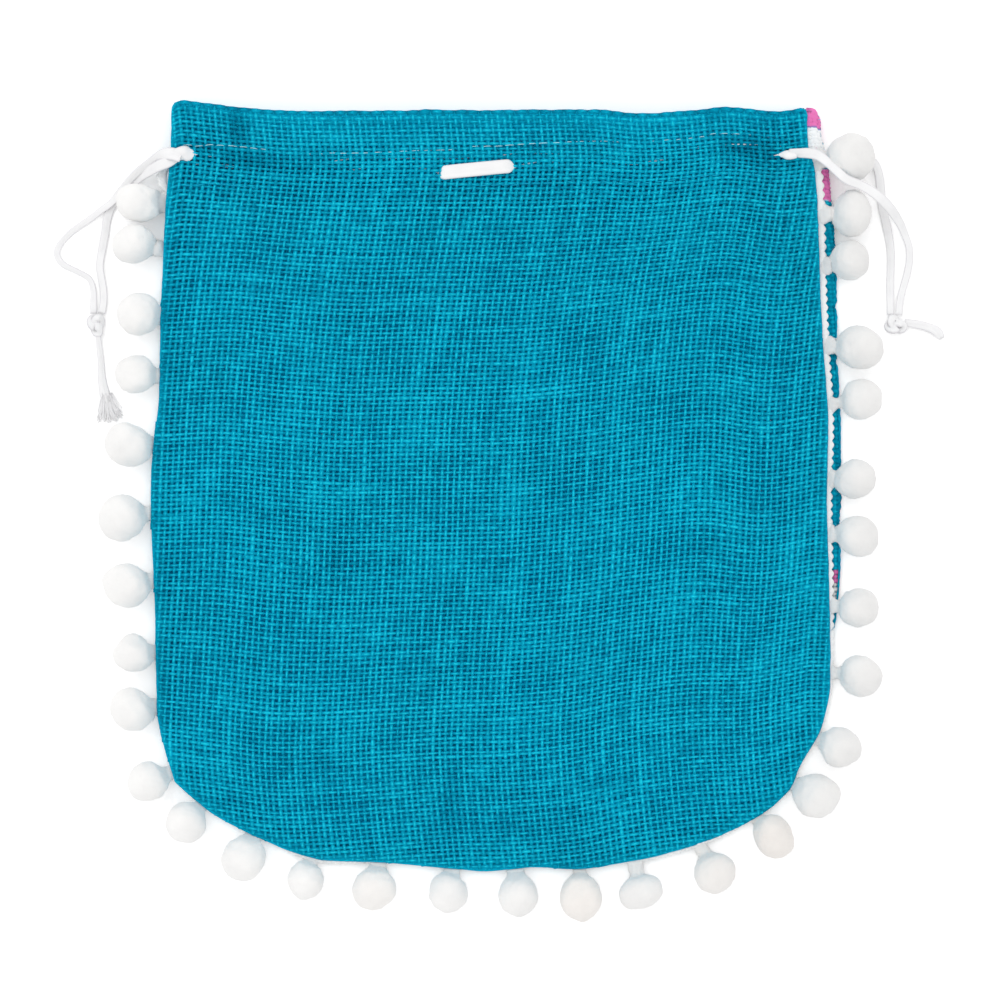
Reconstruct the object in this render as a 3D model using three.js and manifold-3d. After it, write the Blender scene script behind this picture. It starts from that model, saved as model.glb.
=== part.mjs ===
// A drawstring pouch of jute cloth with a pompom trim, lying flat with its back panel up.
// Millimetres, +Z up, +Y towards the mouth. The origin is on the front panel's flat underside, at
// the middle of the cloth.
import * as THREE from "three";
import { mergeVertices } from "three/addons/utils/BufferGeometryUtils.js";
import Module from "manifold-3d";

const wasm = await Module();
wasm.setup();

// Driving sizes
const bagWidth = 197.5; // cloth, at its widest
const sideHeight = 198; // from the mouth's edge down to the bottom corners
const bottomBulge = 26; // how far the rounded bottom hangs below those corners
const clothThickness = 0.8;
const headerDepth = 11; // plain band above the upper row of stitching
const casingDepth = 11.5; // channel for the ribbons
const hemEdge = 3; // strip below the casing, sewn flat
const ribbonThickness = 0.5;
const gatheredWidth = 2.4; // of the ribbon inside its casing
const strandWidth = 2; // a free strand curls up, so it is narrower than the flat ribbon
const strandThickness = 0.8;
const tapeWidth = 5;
const tapeThickness = 0.8;
const fitGap = 0.3; // between pieces that touch
const mouthGap = 5.4; // how far the mouth gapes in the middle
const bodyPuff = 6.2; // how far the back panel stands up in the middle
const knotLength = 5.6;
const knotWidth = 4.4;
const knotHeight = 3.4;

// Levels of the sewn layers
const casingGap = ribbonThickness + 2 * fitGap;
const hemStack = 2 * clothThickness + casingGap;
const seamGap = tapeThickness + 2 * fitGap; // the tape lies between the two panels
const bodySeamLevel = clothThickness + seamGap;
const hemSeamLevel = hemStack + seamGap + casingGap + clothThickness;
const mouthCrown = hemStack + mouthGap + casingGap + clothThickness - hemSeamLevel;
const hemDepth = headerDepth + casingDepth + hemEdge;
const hemFade = 30; // below the hem the seam thins over this length
const bottomFade = 50; // and the pouch flattens towards its bottom over this one
const topLine = (sideHeight + bottomBulge) / 2;
const acrossSteps = 20; // the panels' facets across the bag

// Outlines, as [share of the length, value]
const leftEdge = [
  [0, 0.935], [0.07, 0.938], [0.155, 0.953], [0.31, 0.971], [0.44, 0.977], [0.52, 0.996],
  [0.6, 1], [0.75, 0.988], [0.9, 0.981], [0.94, 0.966], [1, 0.93],
];
const rightEdge = [
  [0, 0.93], [0.067, 0.931], [0.1, 0.95], [0.163, 0.959], [0.24, 0.968], [0.33, 0.9765],
  [0.394, 0.985], [0.46, 0.994], [0.59, 0.991], [0.73, 0.9985], [0.862, 1], [0.908, 0.982],
  [0.935, 0.962], [0.977, 0.912], [1, 0.894],
];
const bottomEdge = [
  [0, 0], [0.029, 0.178], [0.061, 0.357], [0.108, 0.535], [0.153, 0.68], [0.203, 0.815],
  [0.242, 0.877], [0.34, 0.904], [0.454, 0.977], [0.504, 1], [0.578, 0.955], [0.65, 0.978],
  [0.71, 0.92], [0.784, 0.82], [0.87, 0.635], [0.9275, 0.446], [0.961, 0.3], [0.992, 0.1], [1, 0],
];
const mouthDip = [
  [0, 1.2], [0.015, 0.2], [0.05, 0.8], [0.1, 2.1], [0.175, 3.4], [0.26, 3.6], [0.52, 3.3],
  [0.66, 3.3], [0.74, 4.3], [0.81, 3.5], [0.87, 2.4], [0.95, 3.3], [1, 2.2],
];
// The seam rolls towards the back on the right, so the front panel shows past the back panel.
const frontRoll = [
  [0, 1.5], [0.053, 3.8], [0.07, 4.8], [0.116, 4.1], [0.2, 4.8], [0.29, 4.4], [0.44, 3.2],
  [0.585, 3.8], [0.67, 3], [0.73, 2.2], [0.79, 1.3], [0.86, 0.3], [1, 0],
];
// The hem's rows run a little uphill to the right: their shift down from the mouth's edge.
const hemSlant = [
  [0, 1.4], [0.12, 0.4], [0.25, 0.4], [0.45, -0.2], [0.6, -1], [0.83, -2.9], [1, -3.4],
];

// Trim, by share of the seam from the left end of the tape to the right end
const tapeStart = 0.07; // share of the side's length
const tapeShow = [[0, 0], [0.35, 0.2], [0.65, 0.3], [0.7, 0.5], [0.78, 2], [1, 2]];
const pompoms = [
  // [share, reach from the back panel's edge, diameter]
  [0.03, 7.9, 10.8], [0.0506, 8.6, 11.8], [0.0857, 6.1, 12.4], [0.1169, 6.7, 11.6],
  [0.1537, 7, 13], [0.1904, 7.8, 13.3], [0.2244, 7.4, 12.5], [0.2597, 6.3, 11.4],
  [0.2868, 7, 12], [0.3217, 6.8, 11.6], [0.345, 6.3, 11.7], [0.3774, 6.6, 12.7],
  [0.4087, 6.5, 10.4], [0.442, 7.2, 12.2], [0.4807, 6.6, 11.3], [0.514, 7.4, 11.5],
  [0.5472, 7.8, 12.5], [0.5754, 8.2, 11.3], [0.6126, 8.7, 12.6], [0.6449, 6.8, 11.6],
  [0.6696, 6.8, 12.6], [0.6957, 6.9, 12.1], [0.7292, 8.3, 12.3], [0.7631, 7.9, 11.3],
  [0.7998, 8, 11.9], [0.8297, 7.9, 11.3], [0.869, 9, 11.6], [0.8949, 10, 12.7],
  [0.9411, 9, 11.8], [0.9628, 10.8, 12.9], [0.99, 10.8, 12.8],
];
const ribbonUnderTrim = 1.2; // the last pompom lies on a ribbon
const neckStart = 0.4; // radius of a pompom's neck at the tape
const neckEnd = 1.9; // and at the ball

// Where the ribbons run in the casing: room above the left ribbon, by share of the mouth's width
const roomAbove = [[0, 2.4], [0.48, 1.7], [1, 1.45]];
const rowPitch = gatheredWidth + fitGap;
const leftExit = 0.032; // these four are shares of the mouth's width
const rightExit = 0.951;
const stitchFrom = 0.425;
const stitchTo = 0.531;
const slotLength = 6.4;
const runStep = 5; // a ribbon's facets follow the casing at this spacing
const turnInset = 9; // a ribbon turns from one casing to the other this far inside the edge

// Free strands, [x, y, z] from the bag's edge where the ribbons leave it
const leftUpper = [
  [2.3, 0.1, 7.9], [0, 0, 7.7], [-3.2, -0.6, 6.4], [-6.1, -1.7, 4.9], [-9.2, -3.7, 3.4],
  [-11.9, -6.1, 2.3], [-14.5, -9, 1.8], [-17.4, -12.6, 1.6], [-20.3, -14.7, 1.3],
  [-23.5, -17.1, 0.5], [-29.2, -21.2, 0.5], [-32.5, -24.7, 0.5], [-33.5, -27.5, 0.5],
  [-31.9, -30.4, 0.5], [-28, -32.5, 0.5], [-24.1, -34.8, 0.5], [-23, -37.7, 0.5],
  [-22.8, -41, 0.5], [-22.8, -44.9, 0.5],
];
const leftLower = [
  [-0.5, -0.6, 1.35], [-3.2, -1.1, 1.1], [-6.1, -2.4, 0.7], [-9.2, -4.5, 0.5],
  [-11.9, -6.9, 0.5], [-14.5, -10, 0.5], [-16.9, -12.7, 0.5], [-18, -14.8, 0.5],
  [-18.9, -18, 0.5], [-19.4, -21.8, 0.5], [-20, -24.8, 0.5], [-20.6, -27.8, 0.5],
  [-21, -31, 0.5], [-20.6, -34.4, 0.5], [-20, -37.8, 0.5], [-19.9, -41.2, 0.5],
  [-20.4, -44.9, 0.5],
];
const rightUpper = [
  [-5.3, 0.3, 8.3], [-2, 0.3, 8], [1.5, -0.3, 8], [4.3, -2.4, 9], [6.6, -5, 11.5],
  [9, -7.4, 12.5], [11.5, -8.5, 11.9], [14, -9.3, 10.7], [16.6, -10.7, 10.5],
  [19.6, -13.1, 10.7], [22.4, -15.6, 9], [24.4, -17.6, 6.4], [26.3, -19.8, 3.8],
  [27.9, -22.6, 1.6], [29.2, -26, 0.6], [29.3, -30, 0.5], [28.5, -34.4, 0.5],
  [27.3, -38.4, 0.5], [26.4, -42.4, 0.5], [26.1, -45.9, 0.5],
];
const rightLower = [
  [5.6, 0.2, 1.35], [7.5, 0.1, 1], [9.6, 0, 0.6], [12, 0, 0.5], [14.6, 0, 0.5],
  [17.2, -0.4, 0.5], [19, -1.5, 0.5], [20.2, -4.2, 0.5], [20.7, -7.4, 0.5],
  [20.9, -10.6, 0.5], [21.3, -14.4, 0.5], [22.2, -18.4, 0.5], [23, -22.6, 0.5],
  [23.6, -26.8, 0.5], [23.7, -31, 0.5], [23.6, -35.4, 0.5], [23.6, -39.8, 0.5],
  [23.7, -45.9, 0.5],
];
const leftKnot = [-21.6, -48, 0];
const rightKnot = [25.1, -48.6, 0];
const leftTail = [
  [-21.6, -51.4, 0.5], [-21, -55, 0.5], [-20.5, -59, 0.5], [-20.3, -63.4, 0.5],
  [-19.6, -68, 0.5], [-18.4, -73, 0.5], [-17.6, -76.6, 0.5],
];
const rightTail = [
  [28.7, -48.2, 0.5], [31.6, -48.6, 0.5], [34.4, -49.2, 0.5], [37, -50.4, 0.5],
  [38.7, -52.8, 0.5],
];
const leftTailWidth = [[0, 2], [0.5, 2.6], [1, 7]];
const rightTailWidth = [[0, 2.2], [1, 2.4]];

// A smooth line through [place, value] knots.
function smoothLine(knots) {
  const slope = (i) => {
    const before = knots[Math.max(i - 1, 0)];
    const after = knots[Math.min(i + 1, knots.length - 1)];
    return (after[1] - before[1]) / (after[0] - before[0]);
  };
  return (place) => {
    const p = Math.min(Math.max(place, knots[0][0]), knots.at(-1)[0]);
    let i = 0;
    while (i < knots.length - 2 && p > knots[i + 1][0]) i++;
    const span = knots[i + 1][0] - knots[i][0];
    const s = (p - knots[i][0]) / span;
    return (
      knots[i][1] * (1 + 2 * s) * (1 - s) ** 2 +
      slope(i) * span * s * (1 - s) ** 2 +
      knots[i + 1][1] * s * s * (3 - 2 * s) +
      slope(i + 1) * span * s * s * (s - 1)
    );
  };
}

const leftShare = smoothLine(leftEdge);
const rightShare = smoothLine(rightEdge);
const bottomShare = smoothLine(bottomEdge);
const dipAt = smoothLine(mouthDip);
const rollAt = smoothLine(frontRoll);
const slantAt = smoothLine(hemSlant);
const roomAt = smoothLine(roomAbove);
const showAt = smoothLine(tapeShow);

const leftX = (share) => (-bagWidth / 2) * leftShare(share);
const rightX = (share) => (bagWidth / 2) * rightShare(share);
const bottomY = (across) => topLine - sideHeight - bottomBulge * bottomShare(across);
const mouthY = (across) => topLine - dipAt(across);
const ease = (t) => THREE.MathUtils.smoothstep(t, 0, 1);
const fadeBelowHem = (depth) => ease((depth - hemDepth - 2) / hemFade);

// Where a point of a panel lies: across is 0 at the left and 1 at the right, depth is the distance
// down from the mouth's edge, and roll is how much of the front panel's roll it takes.
function onPanel(across, depth, roll) {
  const share = depth / sideHeight;
  const left = leftX(share);
  const right = rightX(share) + roll * rollAt(share);
  const stretch = mouthY(across) - bottomY(across) - sideHeight;
  const below = Math.max(0, depth - hemDepth) / (sideHeight - hemDepth);
  const inHem = ease(depth / headerDepth) * (1 - ease(below * 3));
  return {
    x: left + (right - left) * across,
    y: mouthY(across) - depth - stretch * below - slantAt(across) * inHem,
  };
}

// Height of the inner face of the back panel's outer layer.
function backLevel(across, depth) {
  const belowHem = fadeBelowHem(depth);
  const seam = hemSeamLevel + (bodySeamLevel - hemSeamLevel) * belowHem;
  const crown = mouthCrown + (bodyPuff - mouthCrown) * belowHem;
  const fromBottom = Math.min(1, (sideHeight - depth) / bottomFade);
  const rise = 1 - (1 - fromBottom) ** 2.2;
  return seam + crown * (1 - Math.abs(2 * across - 1) ** 3) * rise;
}

function solidFrom(geometry) {
  const bare = geometry.clone();
  bare.deleteAttribute("normal");
  bare.deleteAttribute("uv");
  const merged = mergeVertices(bare, 1e-4);
  return new wasm.Manifold(
    new wasm.Mesh({
      numProp: 3,
      vertProperties: new Float32Array(merged.attributes.position.array),
      triVerts: new Uint32Array(merged.index.array),
    }),
  );
}

function geometryFrom(solid) {
  const mesh = solid.getMesh();
  const geometry = new THREE.BufferGeometry();
  geometry.setAttribute("position", new THREE.BufferAttribute(mesh.vertProperties, 3));
  geometry.setIndex(new THREE.BufferAttribute(mesh.triVerts, 1));
  geometry.computeVertexNormals();
  return geometry;
}

// Moves every vertex of a geometry to place(x, y, z).
function remap(geometry, place) {
  const position = geometry.attributes.position;
  for (let i = 0; i < position.count; i++) {
    const p = place(position.getX(i), position.getY(i), position.getZ(i));
    position.setXYZ(i, p.x, p.y, p.z);
  }
  geometry.computeVertexNormals();
  return geometry;
}

// A sheet laid on a panel: rows is its list of depths, and lower and upper give how far its two
// faces lie out from the inner face of the panel's outer layer, at a depth.
function sheetGeometry(rows, lower, upper, panel) {
  const sheet = new THREE.BoxGeometry(1, 1, 1, acrossSteps, rows.length - 1, 1);
  return remap(sheet, (x, y, z) => {
    const depth = rows[Math.round((0.5 - y) * (rows.length - 1))];
    const p = onPanel(x + 0.5, depth, panel.roll);
    const above = z * -panel.inside > 0;
    const height = above ? upper(depth) : lower(depth);
    return { x: p.x, y: p.y, z: panel.level(x + 0.5, depth) - panel.inside * height };
  });
}

// A panel: the outer layer, and the top folded in as a facing. The facing is sewn flat as the
// header, stands off as the casing and is sewn flat again at its edge.
function panelSolid(panel) {
  const t = clothThickness;
  const casingTop = headerDepth;
  const casingEnd = headerDepth + casingDepth;
  const shoulder = 1.5; // the facing's slope from the sewn rows to the casing
  const bodyRows = 13;
  const hemRows = [0, 0.3, casingTop / 2, casingTop, (casingTop + casingEnd) / 2, casingEnd];
  const outerRows = [...hemRows];
  for (let i = 0; i <= bodyRows; i++) {
    outerRows.push(hemDepth + ((sideHeight - hemDepth) * i) / bodyRows);
  }
  const facingRows = [
    0, 0.3, casingTop / 2, casingTop, casingTop + shoulder, (casingTop + casingEnd) / 2,
    casingEnd - shoulder, casingEnd, hemDepth,
  ];
  const sewn = (depth) => depth <= casingTop || depth >= casingEnd;
  const fold = (depth) => (depth === 0 ? 0.6 : 1);
  const outer = sheetGeometry(outerRows, () => 0, (depth) => t * fold(depth), panel);
  const facing = sheetGeometry(
    facingRows,
    (depth) => (sewn(depth) ? -t * fold(depth) : -casingGap - t),
    (depth) => (sewn(depth) ? t / 3 : -casingGap),
    panel,
  );
  return solidFrom(outer).add(solidFrom(facing));
}

// inside is the side that a panel's facing lies on, -1 below it or 1 above it.
const backPanel = { inside: -1, roll: 0, level: backLevel };
const frontPanel = { inside: 1, roll: 1, level: () => clothThickness };

// A flat eight-sided band through a list of points. widthways is the direction of its width, or
// null for a band that lies flat; widthAt scales its width along the way.
function band(points, width, thickness, widthways = null, widthAt = () => 1) {
  const w = width / 2;
  const h = thickness / 2;
  const section = new THREE.Shape(
    [
      [-w, -h / 2], [-0.8 * w, -h], [0.8 * w, -h], [w, -h / 2],
      [w, h / 2], [0.8 * w, h], [-0.8 * w, h], [-w, h / 2],
    ].map(([x, y]) => new THREE.Vector2(x, y)),
  );
  const last = points.length - 1;
  const frames = points.map((point, i) => {
    const along = points[Math.min(i + 1, last)]
      .clone()
      .sub(points[Math.max(i - 1, 0)])
      .normalize();
    let across = widthways;
    if (!across) across = new THREE.Vector3(0, 0, 1).cross(along).normalize();
    return { point, across, up: along.clone().cross(across).normalize() };
  });
  const straight = new THREE.ExtrudeGeometry(section, {
    depth: last,
    steps: last,
    bevelEnabled: false,
  });
  return remap(straight, (x, y, z) => {
    const { point, across, up } = frames[Math.round(z)];
    return point
      .clone()
      .addScaledVector(across, x * widthAt(z / last))
      .addScaledVector(up, y);
  });
}

// The seam line along the back panel's edge, with the outward direction at each point.
function seamLine() {
  const points = [];
  const sideSteps = 40;
  const bottomSteps = 60;
  for (let i = 0; i < sideSteps; i++) {
    const share = tapeStart + ((1 - tapeStart) * i) / sideSteps;
    points.push(new THREE.Vector3(leftX(share), topLine - sideHeight * share, 0));
  }
  for (let i = 0; i < bottomSteps; i++) {
    const across = i / bottomSteps;
    const x = leftX(1) + (rightX(1) - leftX(1)) * across;
    points.push(new THREE.Vector3(x, bottomY(across), 0));
  }
  for (let i = 0; i <= sideSteps; i++) {
    const share = 1 - ((1 - tapeStart) * i) / sideSteps;
    points.push(new THREE.Vector3(rightX(share), topLine - sideHeight * share, 0));
  }
  return points;
}

const seam = seamLine();
const seamLengths = seam.map(() => 0);
for (let i = 1; i < seam.length; i++) {
  seamLengths[i] = seamLengths[i - 1] + seam[i].distanceTo(seam[i - 1]);
}
const seamLength = seamLengths.at(-1);

// The point of the seam at a distance along it, its outward direction and the tape's level.
function onSeam(distance) {
  let i = 0;
  while (i < seam.length - 2 && seamLengths[i + 1] < distance) i++;
  const t = (distance - seamLengths[i]) / (seamLengths[i + 1] - seamLengths[i]);
  const point = seam[i].clone().lerp(seam[i + 1], t);
  const along = seam[Math.min(i + 3, seam.length - 1)]
    .clone()
    .sub(seam[Math.max(i - 2, 0)])
    .normalize();
  const belowHem = fadeBelowHem(topLine - point.y);
  const seamFloor = THREE.MathUtils.lerp(hemStack, clothThickness, belowHem);
  return {
    point,
    outward: new THREE.Vector3(along.y, -along.x, 0),
    level: seamFloor + fitGap + tapeThickness / 2,
    show: showAt(distance / seamLength),
  };
}

function tapeGeometry() {
  const steps = 70;
  const points = [];
  for (let i = 0; i <= steps; i++) {
    const { point, outward, level, show } = onSeam((seamLength * i) / steps);
    point.addScaledVector(outward, show - tapeWidth / 2);
    point.z = level;
    points.push(point);
  }
  return band(points, tapeWidth, tapeThickness);
}

// Distances along the seam, pushed on where two balls would touch.
function pompomPlaces() {
  let before = null;
  return pompoms.map(([share, reach, diameter]) => {
    let distance = share * seamLength;
    if (before) {
      const least = before.distance + (before.diameter + diameter) / 2 + fitGap;
      distance = Math.max(distance, least);
    }
    before = { distance, reach, diameter };
    return before;
  });
}

// A pompom: a neck that widens from the tape to the ball, turned as one piece.
function pompom(place, lift) {
  const { point, outward, level, show } = onSeam(place.distance);
  const radius = place.diameter / 2;
  const start = point.clone().addScaledVector(outward, show + fitGap + 0.2);
  start.z = level;
  const ball = point.clone().addScaledVector(outward, place.reach);
  ball.z = radius + lift;
  const axis = ball.clone().sub(start);
  const reach = axis.length();
  const profile = [new THREE.Vector2(0, 0), new THREE.Vector2(neckStart, 0)];
  const sink = Math.sqrt(radius ** 2 - neckEnd ** 2);
  profile.push(new THREE.Vector2(neckStart, Math.min(0.9, (reach - sink) / 2)));
  const from = Math.atan2(neckEnd, -sink);
  const arcSteps = 6;
  for (let i = 0; i < arcSteps; i++) {
    const angle = from - (from * i) / arcSteps;
    profile.push(
      new THREE.Vector2(radius * Math.sin(angle), reach + radius * Math.cos(angle)),
    );
  }
  profile.push(new THREE.Vector2(0, reach + radius));
  const mesh = new THREE.Mesh(new THREE.LatheGeometry(profile, 8), pompomYarn);
  mesh.position.copy(start);
  mesh.quaternion.setFromUnitVectors(new THREE.Vector3(0, 1, 0), axis.normalize());
  return mesh;
}

function rowDepth(across, row) {
  return headerDepth + roomAt(across) + gatheredWidth / 2 + row * rowPitch;
}

// The point in a casing, or on the cloth above it, at a share of the mouth's width. Row 0 is the
// left ribbon's and row 1 the right ribbon's.
function inBackCasing(across, row, height = -casingGap / 2) {
  const depth = rowDepth(across, row);
  const p = onPanel(across, depth, 0);
  return new THREE.Vector3(p.x, p.y, backLevel(across, depth) + height);
}

function inFrontCasing(across, row) {
  const p = onPanel(across, rowDepth(across, row), ease((across - 0.97) / 0.03));
  return new THREE.Vector3(p.x, p.y, clothThickness + casingGap / 2);
}

const overCloth = clothThickness + fitGap + ribbonThickness / 2;
const acrossOf = (millimetres) => millimetres / bagWidth;

// A ribbon's run inside the bag: out of its slot, along the back casing, round at the far side
// and back along the front casing. The right ribbon shows as one stitch on its way.
function casingRun(exit, row, farSide, stitch) {
  const direction = Math.sign(farSide - exit);
  const points = [];
  const add = (across, height) => points.push(inBackCasing(across, row, height));
  const slant = acrossOf(slotLength / 2) * direction;
  add(exit - slant, overCloth);
  add(exit - slant * 0.6, overCloth);
  add(exit + slant * 0.6);
  const turnAt = farSide - direction * acrossOf(turnInset);
  const runStart = exit + slant * 1.4;
  const marks = [];
  const steps = Math.round((Math.abs(turnAt - runStart) * bagWidth) / runStep);
  for (let i = 0; i <= steps; i++) marks.push([runStart + ((turnAt - runStart) * i) / steps]);
  if (stitch) {
    const rise = acrossOf(slotLength / 2);
    const clear = (across) => across < stitch[0] - 2 * rise || across > stitch[1] + 2 * rise;
    const kept = marks.filter(([across]) => clear(across));
    const shown = [
      [stitch[0] - rise * 0.8],
      [stitch[0] + rise * 0.8, overCloth],
      [(stitch[0] + stitch[1]) / 2, overCloth + 0.2],
      [stitch[1] - rise * 0.8, overCloth],
      [stitch[1] + rise * 0.8],
    ];
    marks.length = 0;
    marks.push(...kept, ...shown);
    marks.sort((a, b) => (a[0] - b[0]) * direction);
  }
  for (const [across, height] of marks) add(across, height);
  const top = points.at(-1);
  const bottom = inFrontCasing(turnAt, row);
  const radius = (top.z - bottom.z) / 2;
  const turnSteps = 8;
  for (let i = 1; i < turnSteps; i++) {
    const angle = (Math.PI * i) / turnSteps;
    const bulge = direction * radius * Math.sin(angle);
    const onRow = inFrontCasing(turnAt + acrossOf(bulge), row);
    points.push(
      new THREE.Vector3(
        THREE.MathUtils.lerp(top.x, bottom.x, i / turnSteps) + bulge,
        onRow.y,
        (top.z + bottom.z) / 2 + radius * Math.cos(angle),
      ),
    );
  }
  const nearSide = farSide > 0.5 ? 0 : 1;
  for (let i = 0; i <= steps; i++) {
    points.push(inFrontCasing(turnAt + ((nearSide - turnAt) * i) / steps, row));
  }
  return band(points, gatheredWidth, ribbonThickness, new THREE.Vector3(0, direction, 0));
}

// Cuts the holes that the ribbons pass through, and the ends of the facing that they turn round.
function cutForRibbons(panel, boxes) {
  let solid = panel;
  for (const { size, centre } of boxes) {
    const box = new THREE.BoxGeometry(...size);
    box.translate(centre.x, centre.y, centre.z);
    solid = solid.subtract(solidFrom(box));
  }
  return geometryFrom(solid);
}

const slotWidth = gatheredWidth + 4 * fitGap;
const turnRows = rowPitch + slotWidth;

function slotBox(across, row) {
  return {
    size: [slotLength, slotWidth, clothThickness + 4 * fitGap],
    centre: inBackCasing(across, row, clothThickness / 2 + fitGap),
  };
}

function turnBox(across, direction, centreOf, towards) {
  const centre = centreOf(across, 0.5);
  const length = 3 * turnInset;
  const height = clothThickness + 2 * fitGap + casingGap;
  centre.x += (direction * length) / 2;
  centre.z += towards * (height / 2 + fitGap - ribbonThickness / 2);
  return { size: [length, turnRows, height], centre };
}

const teal = new THREE.MeshStandardMaterial({ color: 0x0b8fb3, roughness: 0.9, metalness: 0 });
const printed = new THREE.MeshStandardMaterial({ color: 0x1593b4, roughness: 0.9, metalness: 0 });
const braid = new THREE.MeshStandardMaterial({ color: 0xf1f3f4, roughness: 0.85, metalness: 0 });
const pompomYarn = new THREE.MeshStandardMaterial({ color: 0xf3f3f1, roughness: 1, metalness: 0 });
const satin = new THREE.MeshStandardMaterial({ color: 0xf7f8fa, roughness: 0.35, metalness: 0 });

const bag = new THREE.Group();

function addPiece(name, geometry, material) {
  const mesh = new THREE.Mesh(geometry, material);
  mesh.name = name;
  bag.add(mesh);
  return mesh;
}

const turnLeft = acrossOf(turnInset + fitGap);
const turnRight = 1 - turnLeft;
addPiece(
  "back_panel",
  cutForRibbons(panelSolid(backPanel), [
    slotBox(leftExit, 0),
    slotBox(rightExit, 1),
    slotBox(stitchFrom, 1),
    slotBox(stitchTo, 1),
    turnBox(turnLeft, -1, inBackCasing, -1),
    turnBox(turnRight, 1, inBackCasing, -1),
  ]),
  teal,
);
addPiece(
  "front_panel",
  cutForRibbons(panelSolid(frontPanel), [
    turnBox(turnLeft, -1, inFrontCasing, 1),
    turnBox(turnRight, 1, inFrontCasing, 1),
  ]),
  printed,
);
addPiece("trim_tape", tapeGeometry(), braid);

pompomPlaces().forEach((place, i) => {
  const lift = i === pompoms.length - 1 ? ribbonUnderTrim : 0;
  const mesh = pompom(place, lift);
  mesh.name = "pompom_" + String(i + 1).padStart(2, "0");
  bag.add(mesh);
});

addPiece("left_ribbon_run", casingRun(leftExit, 0, 1, null), satin);
addPiece("right_ribbon_run", casingRun(rightExit, 1, 0, [stitchFrom, stitchTo]), satin);

// The free part of each ribbon: two strands, the knot that joins them, and its tail
function freeRibbon(side, corner, upper, lower, knot, tail, tailWidth, knotTurn) {
  const placed = (points) => points.map(([x, y, z]) => new THREE.Vector3(x, y, z).add(corner));
  const strand = (points) => {
    const curve = new THREE.CatmullRomCurve3(placed(points));
    const steps = Math.round(curve.getLength() / (1.2 * strandWidth));
    return band(curve.getSpacedPoints(steps), strandWidth, strandThickness);
  };
  addPiece(side + "_strand_upper", strand(upper), satin);
  addPiece(side + "_strand_lower", strand(lower), satin);
  const ball = new THREE.SphereGeometry(0.5, 10, 8);
  ball.scale(knotWidth, knotLength, knotHeight);
  const mesh = addPiece(side + "_knot", ball, satin);
  mesh.position.set(...placed([knot])[0].toArray());
  mesh.position.z = knotHeight / 2 + 0.1;
  mesh.rotation.z = knotTurn;
  const tailPoints = new THREE.CatmullRomCurve3(placed(tail)).getSpacedPoints(8);
  const flare = smoothLine(tailWidth);
  addPiece(side + "_tail", band(tailPoints, 1, strandThickness, null, flare), satin);
}

const leftCorner = new THREE.Vector3(leftX(0.0853), topLine - sideHeight * 0.0853, 0);
const rightCorner = new THREE.Vector3(rightX(0.0823), topLine - sideHeight * 0.0823, 0);
freeRibbon("left", leftCorner, leftUpper, leftLower, leftKnot, leftTail, leftTailWidth, 0);
freeRibbon(
  "right", rightCorner, rightUpper, rightLower, rightKnot, rightTail, rightTailWidth, 1.2,
);

export default bag;
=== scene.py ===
# %% [markdown]
# # A jute drawstring pouch with a pompom trim
# The object is a flat cloth pouch that lies on its printed front, seen straight from above. Its
# back is plain teal jute, woven so openly that the yarns and the holes between them can be
# counted. White pompoms hang from a braid in its seam, and two satin ribbons run through the hem
# of its mouth. The tools are loaded first, with the imported solids that the pieces replace.

# %% Tools and the frame
import math

import bpy
import numpy as np
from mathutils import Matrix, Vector


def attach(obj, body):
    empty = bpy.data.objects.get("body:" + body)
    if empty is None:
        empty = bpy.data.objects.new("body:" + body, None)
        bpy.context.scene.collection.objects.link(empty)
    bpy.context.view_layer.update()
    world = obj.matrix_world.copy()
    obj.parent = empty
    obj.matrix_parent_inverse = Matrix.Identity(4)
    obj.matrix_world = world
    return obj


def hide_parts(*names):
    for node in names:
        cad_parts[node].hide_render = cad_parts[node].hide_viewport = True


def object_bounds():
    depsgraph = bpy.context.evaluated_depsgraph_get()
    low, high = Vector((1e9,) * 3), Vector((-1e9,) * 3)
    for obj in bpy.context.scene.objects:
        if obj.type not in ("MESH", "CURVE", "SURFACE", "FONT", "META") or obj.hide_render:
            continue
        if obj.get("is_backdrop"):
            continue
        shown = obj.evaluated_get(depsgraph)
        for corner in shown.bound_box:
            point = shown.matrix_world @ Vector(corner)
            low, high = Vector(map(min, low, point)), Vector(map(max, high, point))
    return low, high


MM = 0.001
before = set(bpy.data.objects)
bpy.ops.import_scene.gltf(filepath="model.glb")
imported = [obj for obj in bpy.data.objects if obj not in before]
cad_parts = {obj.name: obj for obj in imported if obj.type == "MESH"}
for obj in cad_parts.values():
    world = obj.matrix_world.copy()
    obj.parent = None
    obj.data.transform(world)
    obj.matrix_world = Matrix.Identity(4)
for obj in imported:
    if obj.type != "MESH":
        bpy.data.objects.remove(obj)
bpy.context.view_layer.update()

# %% [markdown]
# ## The camera
# The photograph looks straight down, and nothing in it converges, so it was taken from far away.
# A long lens does the same here: 100 mm on a 36 mm sensor, as high above the bag as makes the
# picture 290 mm wide. It could be an orthographic camera, but a lens gives the pompoms at the
# edges the slight outward lean that a real picture has.

# %% Camera
PICTURE_WIDTH = 290 * MM
LENS = 100
SENSOR = 36
CLOTH_LEVEL = 4 * MM
PICTURE_CENTRE = (2.755 * MM, -4.06 * MM)

camera = bpy.data.objects.new("camera", bpy.data.cameras.new("camera"))
bpy.context.collection.objects.link(camera)
camera.data.lens = LENS
camera.data.sensor_width = SENSOR
camera.location = (*PICTURE_CENTRE, CLOTH_LEVEL + PICTURE_WIDTH * LENS / SENSOR)
bpy.context.scene.camera = camera
print("camera height in mm:", round(camera.location.z / MM))

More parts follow.
